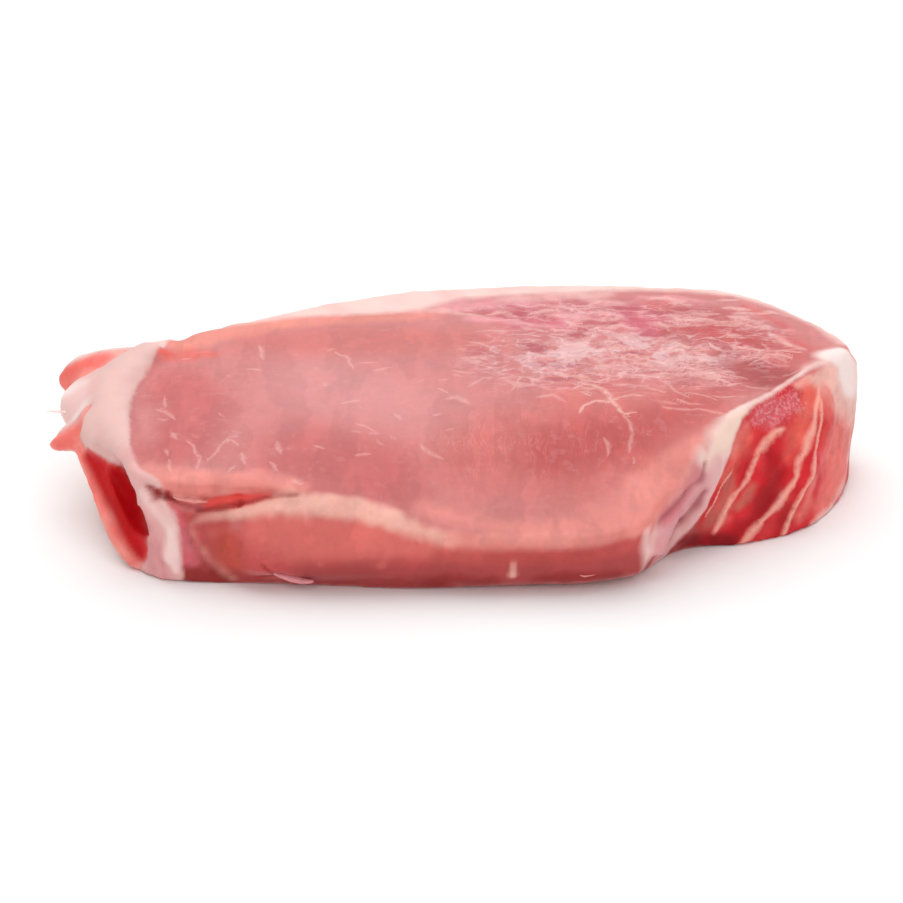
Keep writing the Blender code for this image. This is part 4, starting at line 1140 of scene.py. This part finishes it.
class Wires:
    """Short ways to place and join shader nodes in one tree."""

    def __init__(self, tree):
        self.tree = tree

    def node(self, kind, **settings):
        """A new node. Settings that name an input give its value or what feeds it."""
        node = self.tree.nodes.new(kind)
        inputs = settings.pop("inputs", {})
        for name, value in settings.items():
            setattr(node, name, value)
        for name, value in inputs.items():
            self.feed(node.inputs[name], value)
        return node

    def feed(self, socket, value):
        """Joins an output to the socket, or sets the socket's own value."""
        if isinstance(value, bpy.types.NodeSocket):
            self.tree.links.new(value, socket)
        else:
            socket.default_value = value

    def math(self, operation, first, second=0.0):
        """One sum on two values."""
        node = self.node("ShaderNodeMath", operation=operation, inputs={0: first, 1: second})
        return node.outputs[0]

    def add(self, *values):
        """The sum of several values."""
        total = values[0]
        for value in values[1:]:
            total = self.math("ADD", total, value)
        return total

    def times(self, *values):
        """The product of several values."""
        total = values[0]
        for value in values[1:]:
            total = self.math("MULTIPLY", total, value)
        return total

    def vector(self, operation, first, second):
        """One sum on two vectors."""
        node = self.node("ShaderNodeVectorMath", operation=operation, inputs={0: first, 1: second})
        return node.outputs[0]

    def noise(self, place, scale, detail, roughness=0.5):
        """A cloudy texture."""
        inputs = {"Vector": place, "Scale": scale, "Detail": detail, "Roughness": roughness}
        return self.node("ShaderNodeTexNoise", inputs=inputs).outputs

    def rise(self, value, low, high, start=0.0, end=1.0):
        """A soft step from start to end as the value goes from low to high."""
        inputs = {"Value": value, "From Min": low, "From Max": high, "To Min": start, "To Max": end}
        node = self.node("ShaderNodeMapRange", interpolation_type="SMOOTHSTEP", inputs=inputs)
        return node.outputs["Result"]

    def mix(self, share, first, second):
        """One colour over another."""
        node = self.node("ShaderNodeMix", data_type="RGBA")
        self.feed(node.inputs["Factor"], share)
        self.feed(node.inputs[6], first)
        self.feed(node.inputs[7], second)
        return node.outputs[2]

    def over(self, share, under, colour):
        """A plain colour laid over another, as far as the share says."""
        return self.mix(share, under, (*colour, 1.0))

    def shade(self, colour, value):
        """A colour made lighter or darker."""
        node = self.node("ShaderNodeHueSaturation", inputs={"Color": colour, "Value": value})
        return node.outputs["Color"]

    def attribute(self, name, output="Fac"):
        """A value that the mesh keeps for each of its points."""
        return self.node("ShaderNodeAttribute", attribute_name=name).outputs[output]

    def group(self, name, **inputs):
        """What a shared effect puts out for its own values."""
        return self.node("ShaderNodeGroup", node_tree=shared_group(name), inputs=inputs).outputs

    def bump(self, strength, distance, height):
        """Fine relief by shading. distance is in millimetres."""
        inputs = {"Strength": strength, "Distance": distance * MM, "Height": height}
        return self.node("ShaderNodeBump", inputs=inputs).outputs["Normal"]


def new_group(name, inputs, outputs):
    """An empty node group with named sockets, and the wires inside it."""
    group = bpy.data.node_groups.new(name, "ShaderNodeTree")
    for socket, kind, value in inputs:
        item = group.interface.new_socket(socket, in_out="INPUT", socket_type=kind)
        if value is not None:
            item.default_value = value
    for socket in outputs:
        group.interface.new_socket(socket, in_out="OUTPUT", socket_type="NodeSocketFloat")
    given = group.nodes.new("NodeGroupInput").outputs
    result = group.nodes.new("NodeGroupOutput").inputs
    return group, Wires(group), given, result


def mottle_group():
    """Uneven colour: broad clouds with smaller ones inside them."""
    inputs = (
        ("Vector", "NodeSocketVector", None), ("Size", "NodeSocketFloat", 4.0),
        ("Contrast", "NodeSocketFloat", 1.0),
    )
    group, wires, given, result = new_group("Mottle", inputs, ("Value",))
    scale = wires.math("DIVIDE", 1.0 / MM, given["Size"])
    clouds = wires.noise(given["Vector"], scale, detail=5.0, roughness=0.6)
    centred = wires.math("SUBTRACT", clouds["Fac"], 0.5)
    wires.feed(result["Value"], wires.math("MULTIPLY", centred, given["Contrast"]))
    return group


# How far a fibre strays from its line, in millimetres.
FIBRE_BEND = 2.2


def fibre_group():
    """Fibres and wrinkles: noise drawn out along one direction, and thin lines in it."""
    inputs = (
        ("Vector", "NodeSocketVector", None), ("Squeeze", "NodeSocketVector", (1.0, 1.0, 1.0)),
        ("Turn", "NodeSocketVector", (0.0, 0.0, 0.0)), ("Width", "NodeSocketFloat", 0.04),
        ("Detail", "NodeSocketFloat", 3.0),
    )
    group, wires, given, result = new_group("Fibres", inputs, ("Value", "Line"))
    waver = wires.noise(given["Vector"], scale=0.16 / MM, detail=2.0)["Color"]
    bend = wires.vector("MULTIPLY", wires.vector("SUBTRACT", waver, (0.5,) * 3), (FIBRE_BEND * MM,) * 3)
    bent = wires.vector("ADD", given["Vector"], bend)
    mapping = wires.node(
        "ShaderNodeMapping", inputs={"Vector": bent, "Rotation": given["Turn"], "Scale": given["Squeeze"]}
    )
    strands = wires.noise(mapping.outputs[0], scale=1.0 / MM, detail=given["Detail"], roughness=0.6)
    centred = wires.math("SUBTRACT", strands["Fac"], 0.5)
    wires.feed(result["Value"], centred)
    wires.feed(result["Line"], wires.rise(wires.math("ABSOLUTE", centred), 0.0, given["Width"], 1.0, 0.0))
    return group


# A painted stroke, in half-widths: how far its line and its sides wobble, where its end has faded out, and
# between which distances it stops. Its gaps open where the noise lies below the second pair.
STROKE_LINE_WOBBLE = 3.0
STROKE_SIDE_WOBBLE = 2.0
STROKE_END = 2.2
STROKE_LIMIT = (2.6, 3.6)
STROKE_GAPS = (0.34, 0.52)


def stroke_group():
    """A sharp stroke with a broken edge, from the distances that the mesh keeps."""
    inputs = (
        ("Distances", "NodeSocketVector", None), ("Strength", "NodeSocketFloat", 1.0),
        ("Vector", "NodeSocketVector", None), ("Raggedness", "NodeSocketFloat", 0.5),
        ("Softness", "NodeSocketFloat", 0.5), ("Gaps", "NodeSocketFloat", 0.5),
    )
    group, wires, given, result = new_group("Stroke", inputs, ("Mask",))
    parts = wires.node("ShaderNodeSeparateXYZ", inputs={0: given["Distances"]}).outputs
    rough = wires.noise(given["Vector"], scale=0.7 / MM, detail=3.0)["Fac"]
    wobble = wires.times(wires.math("SUBTRACT", rough, 0.5), given["Raggedness"])
    off_path = wires.math("ABSOLUTE", wires.add(parts["X"], wires.times(wobble, STROKE_LINE_WOBBLE)))
    across = wires.add(off_path, wires.times(wobble, STROKE_SIDE_WOBBLE))
    inner = wires.math("SUBTRACT", 1.0, given["Softness"])
    body = wires.rise(across, inner, wires.add(1.0, given["Softness"]), 1.0, 0.0)
    end = wires.rise(parts["Y"], 0.0, STROKE_END, 1.0, 0.0)
    near = wires.rise(parts["Z"], *STROKE_LIMIT, 1.0, 0.0)
    whole = wires.math("SUBTRACT", 1.0, given["Gaps"])
    broken = wires.rise(rough, *STROKE_GAPS, whole, 1.0)
    wires.feed(result["Mask"], wires.times(body, end, near, broken, given["Strength"]))
    return group


def border_group():
    """A ragged border between two tissues, from how deep a point lies in the second, in millimetres."""
    inputs = (
        ("Depth", "NodeSocketFloat", 0.0), ("Vector", "NodeSocketVector", None),
        ("Raggedness", "NodeSocketFloat", 1.0), ("Softness", "NodeSocketFloat", 0.3),
    )
    group, wires, given, result = new_group("Border", inputs, ("Mask",))
    rough = wires.noise(given["Vector"], scale=0.45 / MM, detail=5.0, roughness=0.6)["Fac"]
    wobble = wires.times(wires.math("SUBTRACT", rough, 0.5), given["Raggedness"])
    low = wires.math("MULTIPLY", given["Softness"], -1.0)
    wires.feed(result["Mask"], wires.rise(wires.add(given["Depth"], wobble), low, given["Softness"]))
    return group


SHARED_GROUPS = {
    "Mottle": mottle_group, "Fibres": fibre_group, "Stroke": stroke_group, "Border": border_group,
}


def shared_group(name):
    """An effect that the chop's materials share. It is built the first time that one asks for it."""
    return bpy.data.node_groups.get(name) or SHARED_GROUPS[name]()


# How strongly each effect shows in the tone and the colour of the flesh, as shares.
CLOUD_TONE = 0.34
SPECK_TONE = 0.16
SIDE_TONE = 0.36
FIBRE_TONE = (0.10, 0.30)
PLATE_TONE = 0.045
FAT_CLOUD_TONE = 0.14
PALE_FIBRE_COVER = 0.16
BLOB_COVER = 0.22
GAP_SHADE_COVER = 0.85
SHEEN_COVER = 0.85
LINE_COVER = 0.80
FINE_LINE_SHARE = 0.7
SPECKLE_COVER = 0.70
FLECK_COVER = 0.80
STREAK_COVER = 0.88

# How rough and how wet the skin is, and what the clouds, the silver skin and the fat change in it.
ROUGHNESS = 0.46
CLOUD_ROUGHNESS = 0.25
SHEEN_ROUGHNESS = -0.10
FAT_ROUGHNESS = 0.06
WETNESS = 0.03
WRINKLED_WETNESS = 0.25

# The shreds' tone, roughness and wetness.
SHRED_TONE = 0.5
SHRED_ROUGHNESS = 0.42
SHRED_CLOUD_ROUGHNESS = 0.2
SHRED_WETNESS = 0.1


def new_material(name):
    """A material with its one shader, and the wires of its tree."""
    material = bpy.data.materials.new(name)
    material.use_nodes = True
    shader = material.node_tree.nodes["Principled BSDF"]
    return material, shader, Wires(material.node_tree)


def set_moist(shader, subsurface):
    """What is the same all over raw meat: light goes a little way in, and a thin wet film lies on it."""
    shader.inputs["Subsurface Weight"].default_value = subsurface
    shader.inputs["Subsurface Radius"].default_value = (1.0, 0.30, 0.20)
    shader.inputs["Subsurface Scale"].default_value = 1.3 * MM
    shader.inputs["Specular IOR Level"].default_value = 0.22
    shader.inputs["Coat Roughness"].default_value = 0.24
    shader.inputs["Coat IOR"].default_value = 1.34


def flesh_material(colours):
    """Lean and fat of the whole chop, with its fibres, flecks and streaks."""
    material, shader, wires = new_material("raw_pork")
    place = wires.node("ShaderNodeTexCoord").outputs["Object"]
    sheen = wires.attribute("sheen")
    fibre_zone = wires.attribute("fibre_zone")
    side = wires.attribute("side")

    def mottle(size, contrast=1.0):
        return wires.group("Mottle", Vector=place, Size=size, Contrast=contrast)[0]

    def fibre(squeeze, turn, width, detail=3.0):
        return wires.group(
            "Fibres", Vector=place, Squeeze=squeeze, Turn=turn, Width=width, Detail=detail
        )

    clouds = mottle(size=6.0)
    specks = mottle(size=1.1, contrast=0.8)
    long_fibres = fibre(squeeze=(0.60, 0.09, 0.2), turn=(0.0, 0.0, 0.0), width=0.035)
    plates = fibre(squeeze=(0.13, 0.035, 0.13), turn=(0.0, 0.0, 0.06), width=0.04)["Value"]
    broad_lines = fibre(squeeze=(0.11, 0.27, 0.3), turn=(0.0, 0.0, 0.42), width=0.040, detail=1.5)
    fine_lines = fibre(squeeze=(0.22, 0.52, 0.3), turn=(0.0, 0.0, 0.15), width=0.050, detail=1.5)
    side_fibres = fibre(squeeze=(0.8, 0.10, 0.8), turn=(0.75, 0.0, 0.75), width=0.04)

    lean = wires.attribute("flesh_colour", "Color")
    fibre_tone = wires.times(long_fibres["Value"], wires.rise(fibre_zone, 0.0, 1.0, *FIBRE_TONE))
    side_tone = wires.times(side_fibres["Value"], side, SIDE_TONE)
    plate_tone = wires.rise(plates, -0.03, 0.04, -PLATE_TONE, PLATE_TONE)
    cloud_tone = wires.times(clouds, CLOUD_TONE)
    speck_tone = wires.times(specks, SPECK_TONE)
    tone = wires.add(1.0, cloud_tone, speck_tone, plate_tone, fibre_tone, side_tone)
    tinted = wires.shade(lean, tone)
    fibre_patches = wires.rise(clouds, -0.10, 0.15)
    pale_fibres = wires.times(long_fibres["Line"], fibre_zone, fibre_patches, PALE_FIBRE_COVER)
    shaded = wires.over(pale_fibres, tinted, colours.marbling)

    blobs = wires.rise(mottle(size=2.6), 0.05, 0.14, 0.0, BLOB_COVER)
    pale_blobs = wires.times(blobs, wires.attribute("level"))
    shaded = wires.over(pale_blobs, shaded, colours.lean_pale)
    patches = wires.rise(clouds, -0.05, 0.04)
    wrinkled = wires.attribute("wrinkled")
    # Painted shade in the gaps between the silver skin's folds.
    gaps = wires.rise(broad_lines["Value"], 0.02, 0.14)
    shaded = wires.over(wires.times(gaps, wrinkled, GAP_SHADE_COVER), shaded, colours.skin_gap_shade)
    shown = wires.times(wrinkled, wires.rise(clouds, -0.12, 0.06))
    any_line = wires.math("MAXIMUM", broad_lines["Line"], wires.times(fine_lines["Line"], FINE_LINE_SHARE))
    lines = wires.times(any_line, shown)
    # Whitish silver skin patches: partly their own colour, partly a painted sheen of reflected light.
    shaded = wires.over(wires.times(patches, sheen, SHEEN_COVER), shaded, colours.sheen)
    shaded = wires.over(wires.times(lines, LINE_COVER), shaded, colours.skin_line)
    cut_ends = wires.rise(mottle(size=0.7), -0.01, 0.07)
    speckle = wires.times(cut_ends, wires.attribute("speckle"), SPECKLE_COVER)

    def strokes(name, raggedness, softness, gaps):
        distances = wires.attribute(name, "Vector")
        strength = wires.attribute(name + "_strength")
        return wires.group(
            "Stroke", Distances=distances, Vector=place, Strength=strength,
            Raggedness=raggedness, Softness=softness, Gaps=gaps,
        )[0]

    placed = strokes("marbling", raggedness=0.9, softness=1.2, gaps=0.5)
    scattered = strokes("flecks", raggedness=0.7, softness=1.0, gaps=0.5)
    flecks = wires.math("MAXIMUM", placed, scattered)
    shaded = wires.over(wires.times(flecks, FLECK_COVER), shaded, colours.marbling)

    def border(name, raggedness, softness):
        depth = wires.attribute(name)
        return wires.group("Border", Depth=depth, Vector=place, Raggedness=raggedness, Softness=softness)[0]

    softness = wires.rise(wires.attribute("soft_edge"), 0.0, 1.0, 0.50, 1.7)
    fat_edge = border("fat_depth", raggedness=0.8, softness=softness)
    fat_tone = wires.add(1.0, wires.times(clouds, FAT_CLOUD_TONE))
    fat = wires.shade(wires.attribute("fat_colour", "Color"), fat_tone)
    shaded = wires.mix(fat_edge, shaded, fat)
    tables = [strokes(name, raggedness=0.5, softness=1.0, gaps=0.35) for name in STREAK_TABLES]
    streaks = wires.times(wires.math("MAXIMUM", *tables), STREAK_COVER)
    shaded = wires.over(streaks, shaded, colours.streak)
    shaded = wires.over(speckle, shaded, colours.skin_pink)
    shaded = wires.mix(border("red_depth", raggedness=0.8, softness=0.5), shaded, tinted)
    wires.feed(shader.inputs["Base Color"], shaded)

    rough = wires.add(
        ROUGHNESS, wires.times(clouds, CLOUD_ROUGHNESS), wires.times(sheen, SHEEN_ROUGHNESS),
        wires.times(fat_edge, FAT_ROUGHNESS),
    )
    wet = wires.add(WETNESS, wires.times(wrinkled, patches, WRINKLED_WETNESS))
    wires.feed(shader.inputs["Roughness"], rough)
    wires.feed(shader.inputs["Coat Weight"], wet)

    height = wires.add(
        wires.times(specks, 0.45), wires.times(fibre_tone, 0.9), wires.times(side_tone, 0.6),
        wires.times(lines, 1.3), wires.times(flecks, 0.25), wires.times(speckle, 0.6),
    )
    wires.feed(shader.inputs["Normal"], wires.bump(strength=0.6, distance=0.25, height=height))
    set_moist(shader, subsurface=0.22)
    return material


def shred_material(name, colour):
    """A small loose shred of fat or meat."""
    material, shader, wires = new_material(name)
    place = wires.node("ShaderNodeTexCoord").outputs["Object"]
    clouds = wires.group("Mottle", Vector=place, Size=1.6, Contrast=0.8)[0]
    tone = wires.add(1.0, wires.times(clouds, SHRED_TONE))
    rough = wires.add(SHRED_ROUGHNESS, wires.times(clouds, SHRED_CLOUD_ROUGHNESS))
    wires.feed(shader.inputs["Base Color"], wires.shade((*colour, 1.0), tone))
    wires.feed(shader.inputs["Roughness"], rough)
    wires.feed(shader.inputs["Normal"], wires.bump(strength=0.5, distance=0.2, height=clouds))
    shader.inputs["Coat Weight"].default_value = SHRED_WETNESS
    set_moist(shader, subsurface=0.30)
    return material


SHRED_SEGMENTS = 10
SHRED_ROUNDING = 2

# Loose shreds: colour, flatness, and x, y, z and radius along each.
SHREDS = {
    # The cleft's tongue and the foot shred use the lip's colours, which carry painted highlight.
    "cleft_tongue": (
        "lip_edge_highlight", 0.55,
        ((-50.2, -35.9, 15.4, 0.2), (-49.2, -36.2, 15.3, 0.45), (-47.8, -36.5, 15.2, 0.6),
         (-46.2, -36.8, 15.1, 0.62), (-44.9, -37, 15.1, 0.45), (-43.9, -37.1, 15, 0.15)),
    ),
    "left_wisp": (
        "fat_white", 0.4,
        ((-71.8, -4, 17, 0.6), (-73.4, -3.8, 16.9, 0.5), (-75, -3.5, 16.8, 0.34),
         (-76.6, -3.3, 16.8, 0.12)),
    ),
    "foot_fat": (
        "skin_pink", 0.7,
        ((-33.4, -41, 3.5, 0.3), (-31.6, -41.3, 2.9, 0.7), (-29.4, -41.7, 2.3, 0.9), (-27.2, -42, 1.9, 0.8),
         (-25.2, -42.2, 1.9, 0.35)),
    ),
    "foot_shred": (
        "lip_highlight", 0.6,
        ((21, -43.4, 4, 0.2), (22.2, -43.2, 3.6, 0.42), (23.6, -42.9, 3.7, 0.36), (24.8, -42.8, 3.9, 0.12)),
    ),
}


def ring_place(place, heading, flatness):
    """Where a ring lies: across the heading, and flattened upright."""
    turn = heading.to_track_quat("Z", "Y").to_matrix().to_4x4()
    return Matrix.Translation(place) @ turn @ Matrix.Diagonal((1.0, flatness, 1.0, 1.0))


def make_shred(path, flatness):
    """A closed, tapering shred along a path of x, y, z and radius, in millimetres."""
    shape = bmesh.new()
    knots = [Vector(knot[:3]) * MM for knot in path]
    radii = [knot[3] * MM for knot in path]
    heading = (knots[1] - knots[0]).normalized()
    made = bmesh.ops.create_circle(shape, cap_ends=True, segments=SHRED_SEGMENTS, radius=radii[0])
    bmesh.ops.transform(shape, matrix=ring_place(knots[0], heading, flatness), verts=made["verts"])
    cap = shape.faces[:]
    for index in range(1, len(knots)):
        ahead = knots[min(index + 1, len(knots) - 1)]
        new_heading = (ahead - knots[index - 1]).normalized()
        grown = bmesh.ops.extrude_face_region(shape, geom=cap)["geom"]
        cap = [item for item in grown if isinstance(item, bmesh.types.BMFace)]
        turn = heading.rotation_difference(new_heading).to_matrix().to_4x4()
        size = Matrix.Scale(radii[index] / radii[index - 1], 4)
        move = Matrix.Translation(knots[index]) @ turn @ size @ Matrix.Translation(-knots[index - 1])
        bmesh.ops.transform(shape, matrix=move, verts=cap[0].verts[:])
        heading = new_heading
    bmesh.ops.recalc_face_normals(shape, faces=shape.faces)
    return shape


class PORKCHOP_OT_flesh(bpy.types.Operator):
    """Covers the plain solid with a fine skin of lean meat and fat"""

    bl_idname = "porkchop.flesh"
    bl_label = "Make lean and fat"

    def execute(self, context):
        colours = context.scene.chop_colours
        shape = context.scene.chop_shape
        mesh = fine_skin(CHOP, "lean_and_fat", shape.skin_grain)
        points, normals = mesh_points(mesh)
        anatomy = Anatomy(points, normals)
        wavering = points + anatomy.waver * TOP_WAVER
        marbling = self.top_strokes(wavering, normals, anatomy)
        flecks = StrokeField(wavering, normals)
        scatter_flecks(flecks, shape, UP, shape.seed)
        scatter_flecks(flecks, shape, DOWN, shape.seed + 1)
        flecks.strength *= 1.0 - smoothstep(*FLECK_STEP, anatomy.fat)
        flecks.strength *= (1.0 - FLECK_SMOOTH_SHARE * anatomy.smooth) * (1.0 - anatomy.side)
        wavering = points + anatomy.waver * SIDE_WAVER
        streaks = {
            name: self.side_strokes(wavering, normals, table) for name, table in STREAK_TABLES.items()
        }

        height = relief(points, anatomy, marbling, flecks, streaks.values(), shape)
        moved = points + normals * height[:, None]
        mesh.vertices.foreach_set("co", (keep_in_box(moved) * MM).ravel())
        lean = painted_lean(points, normals, anatomy, colours)
        fat = painted_fat(points, anatomy, colours)
        store(mesh, "flesh_colour", "FLOAT_COLOR", "color", lean.with_alpha())
        store(mesh, "fat_colour", "FLOAT_COLOR", "color", fat.with_alpha())
        values = {
            "fat_depth": np.clip(anatomy.fat, -DEPTH_KEPT, DEPTH_KEPT),
            "red_depth": np.clip(anatomy.red, -DEPTH_KEPT, DEPTH_KEPT),
            "sheen": anatomy.sheen, "wrinkled": anatomy.wrinkled, "speckle": anatomy.speckle,
            "soft_edge": anatomy.soft_edge, "level": anatomy.level, "side": anatomy.side,
            "fibre_zone": anatomy.fibres,
        }
        for name, value in values.items():
            store(mesh, name, "FLOAT", "value", value)
        for name, field in {"marbling": marbling, "flecks": flecks, **streaks}.items():
            field.keep(mesh, name)
        add_piece("lean_and_fat", mesh, flesh_material(colours))
        return {"FINISHED"}

    def top_strokes(self, points, normals, anatomy):
        """The named flecks of the upper face."""
        field = StrokeField(points, normals)
        for table, strength in ((MARBLING, MARBLING_STRENGTH), (BRANCH, BRANCH_STRENGTH)):
            for half_width, path in table:
                field.add(top_path(path, MARBLING_HEIGHT), half_width, UP, strength)
        field.strength *= 1.0 - smoothstep(*MARBLING_STEP, anatomy.fat)
        return field

    def side_strokes(self, points, normals, table):
        """One table of streaks of the streaky end."""
        field = StrokeField(points, normals)
        for half_width, path in table:
            field.add(path, half_width, STREAK_FACING)
        return field


class PORKCHOP_OT_shreds(bpy.types.Operator):
    """Adds the loose shreds of fat and flesh that stand off the chop"""

    bl_idname = "porkchop.shreds"
    bl_label = "Add loose shreds"

    def execute(self, context):
        colours = context.scene.chop_colours
        materials = {}
        for name, (colour, flatness, path) in SHREDS.items():
            if colour not in materials:
                materials[colour] = shred_material("shred_" + colour, getattr(colours, colour))
            mesh = bpy.data.meshes.new(name)
            shape = make_shred(path, flatness)
            shape.to_mesh(mesh)
            shape.free()
            piece = add_piece(name, mesh, materials[colour])
            round_off = piece.modifiers.new("Round off", "SUBSURF")
            round_off.levels = SHRED_ROUNDING
            round_off.render_levels = SHRED_ROUNDING
        return {"FINISHED"}


# Where the lights stand, in metres, how wide the soft ones look from the chop, in degrees, and how large the
# light behind is.
KEY_PLACE = (-0.10, 0.45, 1.0)
KEY_WIDTH = 70.0
FILL_PLACE = (0.25, -1.0, 0.85)
FILL_WIDTH = 100.0
BACK_PLACE = (0.12, 0.90, 0.50)
BACK_SIZE = (0.7, 0.35)

# The camera's frame and what it looks at, and how far the floor lies under the chop, in millimetres.
SENSOR_WIDTH = 36.0
CAMERA_AIM = (-1.1, 0.0, 9.0)
CAMERA_DROP = 1.97
FLOOR_DROP = 0.02


class PORKCHOP_OT_stage(bpy.types.Operator):
    """Sets the floor, the lights and the camera"""

    bl_idname = "porkchop.stage"
    bl_label = "Set the stage"

    def execute(self, context):
        stage = context.scene.chop_stage
        self.add_floor(stage)
        self.add_sky(context, stage)
        self.add_sun("key", KEY_PLACE, KEY_WIDTH, stage.sun)
        self.add_sun("fill", FILL_PLACE, FILL_WIDTH, stage.fill)
        self.add_back_light(stage)
        self.add_camera(context, stage)
        return {"FINISHED"}

    def add_floor(self, stage):
        """A plain floor just under the chop."""
        mesh = bpy.data.meshes.new("floor")
        shape = bmesh.new()
        bmesh.ops.create_grid(shape, x_segments=1, y_segments=1, size=stage.floor_size / 2)
        bmesh.ops.translate(shape, verts=shape.verts, vec=(0.0, 0.0, -FLOOR_DROP * MM))
        shape.to_mesh(mesh)
        shape.free()
        floor = bpy.data.objects.new("floor", mesh)
        bpy.context.scene.collection.objects.link(floor)
        material, shader, _ = new_material("white_floor")
        shader.inputs["Base Color"].default_value = (*stage.floor, 1.0)
        shader.inputs["Roughness"].default_value = 0.9
        shader.inputs["Specular IOR Level"].default_value = 0.1
        mesh.materials.append(material)

    def add_sky(self, context, stage):
        """Even white light from all round, and pure white where the camera sees past the floor."""
        world = bpy.data.worlds.new("white_surroundings")
        context.scene.world = world
        world.use_nodes = True
        wires = Wires(world.node_tree)
        background = world.node_tree.nodes["Background"]
        background.inputs["Color"].default_value = (1.0, 1.0, 1.0, 1.0)
        seen = wires.node("ShaderNodeLightPath").outputs["Is Camera Ray"]
        wires.feed(background.inputs["Strength"], wires.rise(seen, 0.0, 1.0, stage.sky, 1.0))

    def add_light(self, name, kind, place):
        """A light that faces the chop."""
        data = bpy.data.lights.new(name, kind)
        light = bpy.data.objects.new(name, data)
        light.location = place
        light.rotation_euler = (-Vector(place)).to_track_quat("-Z", "Y").to_euler()
        bpy.context.scene.collection.objects.link(light)
        return data

    def add_sun(self, name, place, width, strength):
        """A soft light from far away, as wide as the given angle in degrees."""
        sun = self.add_light(name, "SUN", place)
        sun.energy = strength
        sun.angle = math.radians(width)

    def add_back_light(self, stage):
        """A low light behind, which shines on the wet skin."""
        back = self.add_light("back", "AREA", BACK_PLACE)
        back.shape = "RECTANGLE"
        back.size, back.size_y = BACK_SIZE
        back.energy = stage.back_power

    def add_camera(self, context, stage):
        """The photograph's view: from in front and a little above, with a long lens."""
        data = bpy.data.cameras.new("camera")
        data.lens = stage.lens
        data.sensor_width = SENSOR_WIDTH
        camera = bpy.data.objects.new("camera", data)
        elevation = stage.camera_elevation
        forward = Vector((0.0, math.cos(elevation), -math.sin(elevation)))
        raised = Vector((0.0, math.sin(elevation), math.cos(elevation)))
        aim = Vector(CAMERA_AIM) * MM - raised * CAMERA_DROP * MM
        camera.location = aim - forward * stage.camera_distance
        camera.rotation_euler = (math.pi / 2 - elevation, 0.0, 0.0)
        bpy.context.scene.collection.objects.link(camera)
        context.scene.camera = camera
        context.scene.view_settings.view_transform = "Standard"
        context.scene.view_settings.look = "None"


OPERATORS = (PORKCHOP_OT_flesh, PORKCHOP_OT_shreds, PORKCHOP_OT_stage)


class PORKCHOP_PT_panel(bpy.types.Panel):
    """Lists what makes the chop"""

    bl_label = "Raw pork chop"
    bl_idname = "PORKCHOP_PT_panel"
    bl_space_type = "VIEW_3D"
    bl_region_type = "UI"
    bl_category = "Pork chop"

    def draw(self, context):
        for operator in OPERATORS:
            self.layout.operator(operator.bl_idname)
        for settings in (context.scene.chop_shape, context.scene.chop_colours, context.scene.chop_stage):
            box = self.layout.box()
            for name in settings.__annotations__:
                box.prop(settings, name)


CLASSES = (ChopColours, ChopShape, ChopStage, *OPERATORS, PORKCHOP_PT_panel)


def register():
    """Makes the settings, the operators and the panel known to Blender."""
    for cls in CLASSES:
        bpy.utils.register_class(cls)
    bpy.types.Scene.chop_colours = PointerProperty(type=ChopColours)
    bpy.types.Scene.chop_shape = PointerProperty(type=ChopShape)
    bpy.types.Scene.chop_stage = PointerProperty(type=ChopStage)


def unregister():
    """Takes them away again."""
    del bpy.types.Scene.chop_stage
    del bpy.types.Scene.chop_shape
    del bpy.types.Scene.chop_colours
    for cls in reversed(CLASSES):
        bpy.utils.unregister_class(cls)


def main():
    """Makes the chop and its stage."""
    register()
    bpy.ops.porkchop.flesh()
    bpy.ops.porkchop.shreds()
    bpy.ops.porkchop.stage()


if __name__ == "__main__":
    main()
